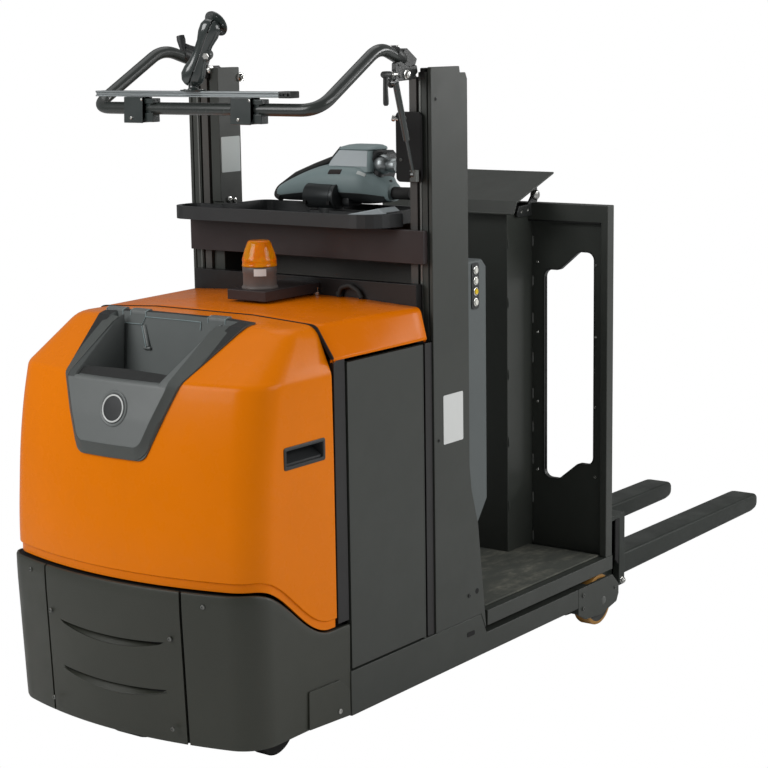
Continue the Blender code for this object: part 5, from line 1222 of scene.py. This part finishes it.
def rail_clamps():
    """Two plate clamps that hold the rail on the crossbar."""
    base = RAIL_BASE_Z
    for name, y in zip(("far", "near"), CLAMP_FRONT_Y):
        face = BAR_CROSS_X - 0.024
        rear = BAR_CROSS_X + 0.02
        outline = [(face - 0.004, CLAMP_LOW_Z), (face + 0.002, CLAMP_LOW_Z), (face + 0.002, base - 0.004),
            (face + 0.036, base - 0.004), (face + 0.036, base - 0.0002), (face - 0.001, base - 0.0002)]
        shape = [prism("Y", outline, y - 0.036, y + 0.026)]
        for first_x, last_x, first_y, last_y, first_z, last_z in (
                (face + 0.001, rear, y - 0.036, y - 0.006, CLAMP_LOW_Z + 0.001, base - 0.006),
                (face + 0.006, rear - 0.01, y - 0.064, y - 0.034, BAR_CROSS_Z + 0.012, base - 0.004),
                (face + 0.006, rear - 0.012, y - 0.062, y - 0.036, CLAMP_LOW_Z + 0.002, BAR_CROSS_Z - 0.01),
                (face + 0.01, rear - 0.012, y - 0.052, y - 0.036, BAR_CROSS_Z - 0.012, BAR_CROSS_Z + 0.014)):
            shape.append(slab((first_x, last_x), (first_y, last_y), (first_z, last_z)))
        piece(f"rail_clamp_{name}", joined(shape), ARM_BLACK, "equipment_bar", bevel=0.002)
        bolts(f"rail_clamp_screws_{name}", [((face - 0.004, y, CLAMP_LOW_Z + 0.012), (-1, 0, 0), 0.004, 0.003),
            ((face - 0.002, y - 0.034, base - 0.007), (-1, 0, 0), 0.0032, 0.0025)], BRIGHT, "equipment_bar")


def mount_arm():
    """A double-socket arm: two shells round a ball at each end, held by a hexagon screw and a T-handle."""
    low = Vector((BAR_CROSS_X - 0.01, MOUNT_Y - 0.004, RAIL_Z + 0.043))
    high = low + Vector((0.004, -0.056, 0.112))
    face = Vector((0.86, -0.09, 0.5)).normalized()
    axis = (high - low).normalized()
    across = axis.cross(Vector((-0.79, -0.58, 0.18))).normalized()
    out = axis.cross(across).normalized()
    out *= -math.copysign(1, out.x)
    near_side = across * -math.copysign(1, across.y)
    length = (high - low).length
    shells = []
    for side in (-1, 1):
        rings = []
        for share, width, depth in ARM_SHELL:
            centre = low + axis * (length * share) + across * side * 0.0015
            ring = []
            for step in range(ARC_STEPS + 1):
                angle = math.pi * step / ARC_STEPS
                ring.append(centre + across * side * width * math.sin(angle) + out * depth * math.cos(angle))
            rings.append(ring)
        shells.append(skin_rings(rings))
    piece("mount_shells", joined(shells), ARM_BLACK, "equipment_bar", bevel=0.0012, angle=50,
        stands_for=("mount_arm",))
    socket = (low + high) / 2
    screw = socket + near_side * 0.015
    piece("mount_hub", turned(screw - out * 0.006, out, mm((13.5, 0), (13.5, 18), (12, 20)), 32), ARM_BLACK,
        "equipment_bar", angle=35)
    piece("mount_screw", turned(screw + out * 0.013, out, mm((8.5, 0), (8.5, 5), (7, 6.5)), 6), BRIGHT,
        "equipment_bar", angle=25)
    handle = socket - near_side * 0.05 + out * 0.002
    reach = (handle - socket).normalized()
    lean = Vector((axis.x, -axis.y * 0.55, axis.z)).normalized()
    grip = [handle - lean * 0.016, handle - lean * 0.006, handle + lean * 0.01, handle + lean * 0.02]
    stem = tube([socket + reach * 0.01, socket + reach * 0.03, handle], mm(8.5, 5.5, 5), 16)
    bulb = tube(grip, mm(6.5, 8.5, 10.5, 9.5), 20)
    piece("mount_handle", joined([stem, bulb]), BLACK_PLASTIC, "equipment_bar", angle=50)
    mount_plates(low, high, face)


def mount_plates(low, high, face):
    """The arm's round base on the rail and its round plate at the top, each on a ball."""
    base = Vector((low.x, low.y, RAIL_Z + 0.0076))
    flange = turned(base, (0, 0, 1), mm((31, 0), (32, 1.5), (31, 3.5), (14, 4.5), (10.5, 9), (8.5, 20),
        (8.5, 36)), 40)
    ball = ball_profile(0.0135, 10, 0.0002)
    post = turned(high, face, mm((8.5, 0), (7.5, 14), (13, 18.5), (32, 20), (33, 21.5), (32, 24.5), (4, 24.5)),
        40)
    piece("mount_base", joined([flange, turned(low, (0, 0, 1), ball, 24)]), ARM_BLACK, "equipment_bar",
        angle=50)
    side_way = face.orthogonal().normalized()
    other = face.cross(side_way)
    holes = []
    for step in range(6):
        angle = math.pi * step / 3 + 0.3
        place = high + (side_way * math.cos(angle) + other * math.sin(angle)) * 0.0235
        holes.append(rod(place + face * 0.012, place + face * 0.03, 0.003, None, 16))
    piece("mount_plate", joined([post, turned(high, face, ball, 24)]), ARM_BLACK, "equipment_bar", angle=50,
        cuts=holes)
    bolts("mount_base_screws", [(base + Vector((0.022 * math.cos(a), 0.022 * math.sin(a), 0.003)), (0, 0, 1),
        0.0034, 0.002) for a in (0.4, 1.97, 3.54, 5.11)], BRIGHT, "equipment_bar")


# Steering console

def head_arc(row, first, last, steps, grow=0):
    """Part of the steering head's section at one row, between two angles from its rear face."""
    y, z_mid, z_half, x_mid, x_half = row
    points = []
    for step in range(steps + 1):
        angle = math.radians(first + (last - first) * step / steps)
        reach_x, reach_z = math.cos(angle), math.sin(angle)
        points.append(Vector((x_mid + (x_half + grow) * math.copysign(abs(reach_x) ** 0.8, reach_x), y,
            z_mid + (z_half + grow) * math.copysign(abs(reach_z) ** 0.8, reach_z))))
    return points


def head_patch(name, y_range, angles, grow, look, thick=0.003):
    """A thin panel that follows part of the head's surface."""
    rows = [row for row in smooth_rows(HEAD_ROWS, ARC_STEPS) if y_range[0] <= row[0] <= y_range[1]]
    piece(name, open_sheet([head_arc(row, *angles, ARC_STEPS, grow) for row in rows]), look, STEERING,
        sheet=thick, angle=50, bevel=0.0008)


def tower(rows, radius):
    """A rounded block from its rows of height and plan limits."""
    rings = []
    for level, low_x, high_x, far_y, near_y in rows:
        size = min(radius, (high_x - low_x) * 0.45)
        rings.append([(x, y, level) for x, y in rectangle((low_x, near_y), (high_x, far_y), size, 6)])
    return skin_rings(rings)


def console():
    """The steering head's body with its tower, cap, panels and far grip."""
    rows = smooth_rows(HEAD_ROWS, 6)
    shape = skin_rings([head_arc(row, 0, 360 - 360 / 48, 47) for row in rows])
    piece("head_body", shape, CONSOLE, STEERING, angle=60, stands_for=("steering_head",))
    piece("head_tower", tower(TOWER_ROWS, 0.014), CONSOLE, STEERING, bevel=0.0015, angle=50)
    piece("head_crown", tower(CROWN_ROWS, 0.022), CONSOLE, STEERING, bevel=0.001, angle=50)
    cap = []
    for level, low_x, _, far_y, near_y in TOWER_ROWS[1:]:
        far_y, near_y = far_y - 0.008, near_y + 0.01
        row = []
        for step in range(ARC_STEPS + 1):
            share = step / ARC_STEPS
            bow = 0.002 * (1 - (2 * share - 1) ** 4)
            row.append(Vector((low_x - bow, far_y + (near_y - far_y) * share, level)))
        cap.append(row)
    piece("head_cap", open_sheet(cap), CONSOLE_LIGHT, STEERING, sheet=0.004, bevel=0.001, angle=50)
    head_patch("head_display", (-0.08, -0.032), (140, 156), 0.0012, DISPLAY, 0.002)
    head_patch("head_plate", (-0.15, -0.124), (140, 152), 0.001, LABEL_GREY, 0.0015)
    head_patch("head_underside", (-0.195, 0.15), (199, 341), 0.0015, BLACK_PLASTIC)
    piece("head_grip_far", tube(bent_path(GRIP_PATH, 0.016, 6), 0.0082, 20), RUBBER, STEERING, angle=60)


def console_roll():
    """The roll under the head's front, with its end disc, and notches drawn as painted shadow."""
    roll_x, roll_z, radius = 0.049, 1.3035, 0.0325
    profile = [(radius - 0.006, 0), (radius - 0.001, 0.001), (radius, 0.003), (radius, 0.084),
        (radius - 0.001, 0.085), (radius - 0.001, 0.087), (radius, 0.088), (radius - 0.0005, 0.097),
        (radius - 0.002, 0.0985), (radius - 0.01, 0.099), (radius - 0.011, 0.0975), (0.006, 0.0975)]
    piece("head_roll", turned((roll_x, 0.028, roll_z), (0, -1, 0), profile, 48), ROLL_METAL, STEERING, angle=30)
    disc = [(radius - 0.0005, 0), (radius + 0.0005, 0.001), (radius + 0.0005, 0.004), (radius - 0.003, 0.006),
        (0.01, 0.0065)]
    piece("head_roll_end", turned((roll_x, -0.0665, roll_z), (0, -1, 0), disc, 48), BLACK_PLASTIC, STEERING,
        angle=30)
    # Painted shadow: the notches are dark slabs.
    notches = [slab((roll_x - radius - 0.0008, roll_x - 0.016), across, (roll_z - 0.021, roll_z - 0.01))
        for across in ((0.015, 0.0255), (-0.062, -0.052))]
    piece("head_roll_notches", joined(notches), SHADOW, STEERING, bevel=0.0015)
    cheek = rounded(around((roll_x, 0), (2, 1276.5), (60, 1276.5), (70, 1330), (6, 1342)), 0.01)
    piece("head_cheek", prism("Y", cheek, -0.098, -0.074), BLACK_PLASTIC, STEERING, bevel=0.002)


def console_joint():
    """The ball joint behind the head with its shroud and yoke, the near grip and the foot."""
    ball_at = Vector((0.1, -0.1755, 1.385))
    piece("head_ball", turned(ball_at, (-0.15, -0.98, 0.05), ball_profile(0.0255, 16, 0.0004), 32), RAIL_METAL,
        STEERING, angle=60)
    shroud = []
    middle = ball_at + Vector((-0.004, -0.006, -0.006))
    for step in range(SHROUD_STEPS + 1):
        angle = math.radians(64 + 232 * step / SHROUD_STEPS)
        shroud.append(middle + Vector((-0.012 * math.sin(angle), -0.031 * math.cos(angle),
            0.04 * math.sin(angle))))
    widths = [0.0035 + 0.0035 * math.sin(math.pi * step / SHROUD_STEPS) for step in range(SHROUD_STEPS + 1)]
    piece("head_shroud", tube(shroud, widths, 14), BLACK_PLASTIC, STEERING, angle=60)
    yoke = tower(mm((1346, 86, 150, -146, -176), (1360, 80, 156, -144, -176), (1410, 92, 158, -142, -178),
        (1419, 98, 154, -142, -172)), 0.008)
    piece("head_yoke", yoke, BLACK_PLASTIC, STEERING, bevel=0.001, angle=50)
    stalk = mm((15, 0), (17.5, 6), (18.5, 8), (18.5, 30), (17, 32))
    piece("head_stalk", turned((0.098, -0.193, 1.3835), (-0.1, -0.98, -0.02), stalk, 32), RAIL_METAL, STEERING,
        angle=40)
    last = HEAD_ROWS[-1]
    rings = []
    for y, size in ((last[0] + 0.004, 0.0165), (-0.212, 0.0165), (-0.225, 0.0158), (-0.248, 0.016),
            (-0.253, 0.014)):
        rings.append(circle((last[3] - (y - last[0]) * 0.1, y, last[1] - 0.001), (0, -1, 0), size, 32))
    piece("head_grip_near", skin_rings(rings), RUBBER, STEERING, angle=50, stands_for=("steering_grip",))
    low, _ = limits("console_base")
    wedge = around((0, low.z), (-110, 0.3), (-112, 14), (-213, 33), (-232, 20), (-234, 0.3))
    piece("console_foot", prism("X", rounded(wedge, 0.003, 3), 0.024, 0.098), CONSOLE_LIGHT, "carriage",
        bevel=0.003)


# Beacon

def beacon():
    """The ribbed lens round its core, and the socket with a blank sticker."""
    low, high = limits("beacon_lens")
    centre = Vector(((low.x + high.x) / 2, 0, low.z))
    rings = []
    for radius, height, rib in mm((44, 0, 0), (44.5, 2, 0), (43.5, 4, 0), (43.2, 13, 0), (44, 15, 0),
            (42.5, 19, 0.5), (36, 41, 0.5), (30, 57, 0.4), (27, 62.5, 0), (24, 64, 0), (10, 64.5, 0)):
        ring = []
        for step in range(LENS_STEPS):
            angle = 2 * math.pi * step / LENS_STEPS
            size = radius + (rib if step % 2 else -rib)
            ring.append(centre + Vector((size * math.cos(angle), size * math.sin(angle), height)))
        rings.append(ring)
    piece("beacon_dome", skin_rings(rings), LENS, angle=50, stands_for=("beacon_lens",))
    core = turned(centre + Vector((0, 0, 0.001)), (0, 0, 1), mm((36, 0), (34, 12), (16, 18), (12, 44), (6, 50)),
        32)
    piece("beacon_core", core, LENS_CORE, angle=50)
    base_low, base_high = limits("beacon_base")
    seat = Vector((centre.x, 0, base_low.z))
    height = base_high.z - base_low.z
    body = turned(seat, (0, 0, 1), [(0.0455, 0), (0.046, 0.003), (0.0445, 0.006), (0.0425, 0.008),
        (0.042, height * 0.66), (0.0432, height * 0.7), (0.0432, height - 0.004), (0.0425, height - 0.001)], 64)
    piece("beacon_socket", body, SOCKET_BROWN, angle=35, stands_for=("beacon_base",))
    sticker = []
    for level in (height - 0.022, height - 0.004):
        row = [seat + Vector((0.0437 * math.cos(a), 0.0437 * math.sin(a), level))
            for a in (math.radians(200 + 7 * step) for step in range(7))]
        sticker.append(row)
    piece("beacon_sticker", open_sheet(sticker), LABEL, sheet=0.0006, angle=60)


def behind_beacon():
    """What shows over the lid: a bent lift pipe with its tie, and a clamp."""
    piece("lift_pipe", tube(bent_path(PIPE_PATH, 0.016, 8), 0.006, 20), RUBBER, angle=60)
    clamp = turned((-0.036, -0.056, 1.0565), (0, 0, 1), mm((11, 0), (11, 8), (7.5, 10)), 24)
    hexagon = turned((-0.036, -0.056, 1.066), (0, 0, 1), mm((7.5, 0), (7.5, 10), (5, 12)), 6)
    piece("lift_pipe_clamp", joined([clamp, hexagon]), BRIGHT, angle=30)
    piece("lift_pipe_tie", turned((-0.036, -0.13, 1.057), (0, 0, 1), mm((9, 0), (9.5, 10), (8, 12)), 24),
        BLACK_PLASTIC, angle=40)


# Cage

def cage_details():
    """Screws, window edges, welds, and the groove of the cage's rear wall drawn as a strip of painted shadow.
    """
    low, high = limits("rear_wall")
    for name, side in SIDES:
        places = [((high.x - WALL_SHEET, side * y, z), (-1, 0, 0), 0.0042, 0.0026) for y in WALL_SCREW_Y
            for z in WALL_SCREW_Z]
        bolts(f"wall_screws_{name}", places, BRIGHT, "carriage")
        rim = [(side * y, z) for y, z in window_outline(0)]
        grown = [(side * y, z) for y, z in window_outline(0.004)]
        rings = []
        for outline, x in ((grown, high.x - WALL_SHEET + 0.0005), (grown, high.x - WALL_SHEET - 0.0012),
                (rim, high.x - WALL_SHEET - 0.0012), (rim, high.x + 0.0006), (grown, high.x + 0.0006),
                (grown, high.x - 0.001)):
            rings.append([(x, y, z) for y, z in outline])
        piece(f"window_edge_{name}", skin_rings(rings, ends=False), BLACK_METAL, "carriage", angle=40)
    top = limits("centre_box")
    welds = []
    for z in BOX_WELD_Z:
        bend = mm((-131, 0), (-131.5, 10), (-131, 20), (-131, 30))
        bead = [(top[0].x + 0.004, y, z + rise) for y, rise in bend]
        welds.append(tube(bead, mm(1.2, 2.6, 2.4, 1.2), 10))
    piece("box_welds", joined(welds), GREY, "carriage", angle=60)
    seams = []
    for z in CORNER_WELD_Z:
        for side in (-1, 1):
            line = [(high.x - WALL_SHEET - 0.001, side * 0.1325, z + step)
                for step in (-0.016, -0.01, 0, 0.01, 0.016)]
            seams.append(tube(line, mm(1.2, 3.2, 2.8, 3.2, 1.2), 10))
    piece("corner_welds", joined(seams), GREY_EDGE, "carriage", angle=60)
    # Painted shadow: a dark strip for the groove.
    groove = plate("X", (-HALF + 0.024, WALL_TOP_Z - 0.0525), (HALF - 0.024, WALL_TOP_Z - 0.0495),
        low.x - 0.0006, low.x + 0.004, 0.001)
    piece("wall_groove", groove, SHADOW, "carriage")


def window_outline(grow):
    """A cage window with its two slanted steps, grown by a margin."""
    inner, outer = WINDOW_INNER_Y - grow, WINDOW_OUTER_Y + grow
    middle, third = (inner + outer) / 2, (outer - inner) / 5
    corners = [(inner, WINDOW_Z[0] - grow), (middle - third, WINDOW_Z[0] - grow),
        (middle + third, WINDOW_Z[1] - grow), (outer, WINDOW_Z[1] - grow), (outer, WINDOW_Z[3] + grow),
        (middle + third, WINDOW_Z[3] + grow), (middle - third, WINDOW_Z[2] + grow),
        (inner, WINDOW_Z[2] + grow)]
    return rounded(corners, 0.022 + grow, 5)


def desk_details():
    """The desk's side bracket, knob, screws and rolled hem."""
    low = limits("desk_plate")[0]
    bracket = prism("Y", rounded(mm((790, 1190), (870, 1190), (905, 1232), (900, 1292), (880, 1285),
        (872, 1245), (850, 1222), (800, 1220)), 0.008, 5), -0.142, -0.136)
    piece("desk_side_bracket", bracket, BLACK_METAL, "carriage", bevel=0.001)
    piece("desk_knob", turned((0.872, -0.142, 1.25), (0, -1, 0), mm((6, 0), (6, 4), (13, 6), (15, 10), (15, 16),
        (12, 20), (4, 21)), 24), BRIGHT, "carriage", angle=40)
    bolts("desk_bracket_screws", [((0.815, -0.142, 1.205), (0, -1, 0), 0.005, 0.003),
        ((0.85, -0.142, 1.207), (0, -1, 0), 0.005, 0.003)], BRIGHT, "carriage")
    hem = [(low.x + 0.0015, y, low.z) for y in (-DESK_HALF + 0.002, DESK_HALF - 0.002)]
    piece("desk_hem", rod(*hem, 0.0032, None, 16, 0.001), GREY, "carriage", angle=50)


def buttons():
    """Four unmarked buttons with bright rings on their plate."""
    low, high = limits("button_strip")
    x = (low.x + high.x) / 2
    top = BUTTON_TOP_Z
    frame_plate = plate("Y", (low.x - 0.003, low.z - 0.005), (high.x + 0.003, high.z + 0.005), low.y + 0.0046,
        high.y, 0.008)
    piece("button_plate", frame_plate, BLACK_PLASTIC, "carriage", bevel=0.0008, stands_for=("button_strip",))
    for index, look in enumerate((BUTTON_WHITE, BUTTON_WHITE, BUTTON_YELLOW, BUTTON_WHITE)):
        z = top - index * BUTTON_PITCH
        bezel = []
        for radius, far in mm((11.2, 0), (11.2, 2.2), (10.2, 3), (8.8, 3), (8.4, 1)):
            bezel.append(circle((x, low.y + 0.0048 - far, z), (0, -1, 0), radius, 32))
        piece(f"button_bezel_{index}", looped(bezel), BRIGHT, "carriage", angle=40)
        cap = turned((x, low.y + 0.0046, z), (0, -1, 0), mm((8, 0), (8, 3.6), (7, 4.5), (5, 4), (1, 3.8)), 32)
        piece(f"button_cap_{index}", cap, look, "carriage", angle=50)


# Wheels and forks

def wheel_sizes(node):
    """Centre, half width and radius of a wheel."""
    low, high = limits(node)
    return (low + high) / 2, (high.y - low.y) / 2, (high.z - low.z) / 2


def band(centre, profile, segments, side=1):
    """A closed ring about a wheel's axle from (radius, distance across) pairs."""
    return looped([circle(centre + Vector((0, side * far, 0)), (0, 1, 0), size, segments)
        for size, far in profile])


def load_wheels():
    """Treads and hubs of the load wheels, their axle ends and the bolts of their brackets."""
    for name, side in SIDES:
        node = f"load_wheel_{name}"
        centre, half, radius = wheel_sizes(node)
        tread = [(radius * 0.86, -half), (radius - 0.005, -half), (radius - 0.0015, -half + 0.0015),
            (radius, -half + 0.005)]
        tread += [(size, -far) for size, far in reversed(tread)]
        piece(f"{node}_tread", band(centre, tread, 64), TREAD, node, angle=40, stands_for=(node,))
        hub = [(0.012, -half + 0.003), (0.024, -half + 0.003), (0.026, -half + 0.006), (0.044, -half + 0.006),
            (radius * 0.84, -half + 0.001), (radius * 0.865, -half + 0.0005)]
        hub += [(size, -far) for size, far in reversed(hub)]
        piece(f"{node}_hub", band(centre, hub, 48), HUB_DARK, node, angle=35)
        face = side * HALF
        places = [((x, face, z), (0, side, 0), size, height) for x, z, size, height in BRACKET_BOLTS]
        bolts(f"wheel_bracket_bolts_{name}", places, GREY_EDGE)
        piece(f"load_axle_{name}", turned((centre.x, face - side * 0.003, centre.z), (0, side, 0),
            mm((12, 0), (12, 3), (10, 4.5), (3, 4.5)), 32), GREY_EDGE, angle=40)


def drive_details():
    """Hub faces of the driven wheel and the castor, and the fins of the motor."""
    for node in ("drive_wheel", "castor_wheel"):
        centre, half, radius = wheel_sizes(node)
        cap = [(radius * 0.28, half - 0.001), (radius * 0.62, half - 0.001), (radius * 0.64, half + 0.0015),
            (radius * 0.6, half + 0.0025), (radius * 0.34, half + 0.0025), (radius * 0.3, half + 0.0015)]
        piece(f"{node}_hub_face", band(centre, cap, 40, -1), CAST, node, angle=35)
    low, high = limits("drive_motor")
    x, y, _ = (low + high) / 2
    fins = [turned((x, y, low.z + 0.05 + step * 0.03), (0, 0, 1), mm((99.5, 0), (103.5, 1), (103.5, 7),
        (99.5, 8)), 48) for step in range(6)]
    piece("motor_fins", joined(fins), CAST, angle=40)


def fork_blades():
    """Tapered blades with round tips and softened edges."""
    for name in ("near", "far"):
        low, high = limits(f"fork_{name}")
        middle, width = (low.y + high.y) / 2, (high.y - low.y) / 2
        tip = high.x
        stations = [(low.x, width, FORK_HEEL_Z, high.z), (low.x + FORK_TAPER, width, FORK_TOE_Z, high.z)]
        for step in range(-1, FORK_STEPS + 1):
            angle = math.radians(86) * max(step, 0) / FORK_STEPS
            back = width * (1 - math.sin(angle)) + (0.025 if step < 0 else 0)
            nose = max(0, 1 - back / TIP_LENGTH)
            bottom = FORK_TOE_Z + 0.016 * (1 - back / (2 * TIP_LENGTH)) + 0.009 * nose ** 2
            stations.append((tip - back, width * math.cos(angle), bottom, high.z - 0.016 * nose ** 1.8))
        rings = []
        for x, half, bottom, top in stations:
            size = min(0.01 + 0.011 * max(0, 1 - (tip - x) / 0.06), half * 0.9, (top - bottom) * 0.45)
            rings.append([(x, middle + y, z) for y, z in rectangle((-half, bottom), (half, top), size, 5)])
        piece(f"fork_blade_{name}", skin_rings(rings), FORK_GREY, "carriage", angle=50,
            stands_for=(f"fork_{name}",))


def fork_details():
    """The shadow, the roller and the weld beads at the forks' heels."""
    low, high = limits("fork_carriage")
    piece("fork_plate_edge", prism("Y", around((high.x, 0), (-60, 120), (-40, 100), (-36, 245), (-60, 245)),
        low.y - 0.0008, low.y + 0.004), SHADOW, "carriage")
    piece("fork_roller", nut((high.x - 0.016, low.y + 0.0005, 0.044), (0, -1, 0), 0.009, 0.009), BRIGHT,
        "carriage", angle=25)
    welds = []
    for side in (-1, 1):
        node = limits("fork_near" if side < 0 else "fork_far")
        bead = ((node[0].y + 0.004, 0.001), ((node[0].y + node[1].y) / 2, 0.0016), (node[1].y - 0.004, 0.001))
        path = [(high.x + 0.0015, y, node[1].z + rise) for y, rise in bead]
        welds.append(tube(path, mm(3, 4.2, 3), 12))
    piece("fork_welds", joined(welds), FORK_GREY, "carriage", angle=60)


# Stage

def camera():
    """The photograph's camera."""
    heading, pitch, roll = map(math.radians, (CAMERA_HEADING, CAMERA_PITCH, CAMERA_ROLL))
    ahead = Vector((math.cos(heading) * math.cos(pitch), math.sin(heading) * math.cos(pitch), -math.sin(pitch)))
    level = Vector((math.sin(heading), -math.cos(heading), 0))
    above = level.cross(ahead)
    right = level * math.cos(roll) + above * math.sin(roll)
    up = above * math.cos(roll) - level * math.sin(roll)
    data = bpy.data.cameras.new("camera")
    data.sensor_width = SENSOR_MM
    data.lens = FOCAL_PIXELS * SENSOR_MM / IMAGE_PIXELS
    data.clip_end = 100
    made = linked("camera", data)
    turn = Matrix((right, up, -ahead)).transposed().to_4x4()
    made.matrix_world = Matrix.Translation(Vector(CAMERA_AT) + ROW_SHIFT) @ turn
    bpy.context.scene.camera = made


def area_light(name, place, target, size, watts):
    """A rectangular light that faces a target."""
    data = bpy.data.lights.new(name, "AREA")
    data.shape = "RECTANGLE"
    data.size, data.size_y = size
    data.energy = watts
    made = linked(name, data)
    made.location = place
    made.rotation_euler = (Vector(target) - Vector(place)).to_track_quat("-Z", "Y").to_euler()


def studio():
    """Soft lights and a pale surround that the camera sees as white."""
    bpy.context.scene.view_settings.view_transform = "Standard"
    area_light("key", (-4.5, 1.4, 3), (-0.8, 0, 0.7), (2.4, 2.4), 106)
    area_light("side", (0.4, -4.2, 2.6), (0, 0, 0.6), (3, 2), 78)
    area_light("top", (0, 0.6, 4.4), (0, 0, 0.5), (3.4, 2.6), 30)
    area_light("rear", (4.4, -3.6, 2.3), (0, -0.4, 1.5), (1.6, 1.4), 70)
    world = bpy.data.worlds.new("studio")
    bpy.context.scene.world = world
    world.use_nodes = True
    nodes, links = world.node_tree.nodes, world.node_tree.links
    back = nodes["Background"]
    back.inputs["Color"].default_value = (1, 1, 1, 1)
    path = nodes.new("ShaderNodeLightPath")
    strength = nodes.new("ShaderNodeMapRange")
    strength.inputs["To Min"].default_value = 0.25
    strength.inputs["To Max"].default_value = 1
    links.new(path.outputs["Is Camera Ray"], strength.inputs["Value"])
    links.new(strength.outputs["Result"], back.inputs["Strength"])


def floor():
    """A pale floor that lights the underside; the camera sees plain white behind the truck, as in the photo."""
    mesh = bpy.data.meshes.new("studio_floor")
    size = 14
    corners = [(-size, -size, 0), (size, -size, 0), (size, size, 0), (-size, size, 0)]
    mesh.from_pydata(corners, [], [(0, 1, 2, 3)])
    made = linked("studio_floor", mesh)
    look = bpy.data.materials.new("studio_floor_look")
    look.use_nodes = True
    main = look.node_tree.nodes["Principled BSDF"]
    main.inputs["Base Color"].default_value = (0.8, 0.8, 0.8, 1)
    main.inputs["Roughness"].default_value = 0.9
    mesh.materials.append(look)
    made.visible_camera = False


camera()
studio()
floor()
dress_nodes()
hood()
skirts()
skirt_seams()
lid()
handles()
bin_panel()
bin_badge()
bin_mouth()
bin_trim()
posts()
strut_mount()
equipment_bar()
bar_link()
bar_lever()
rail()
rail_clamps()
mount_arm()
console()
console_roll()
console_joint()
beacon()
behind_beacon()
cage_details()
desk_details()
buttons()
load_wheels()
drive_details()
fork_blades()
fork_details()
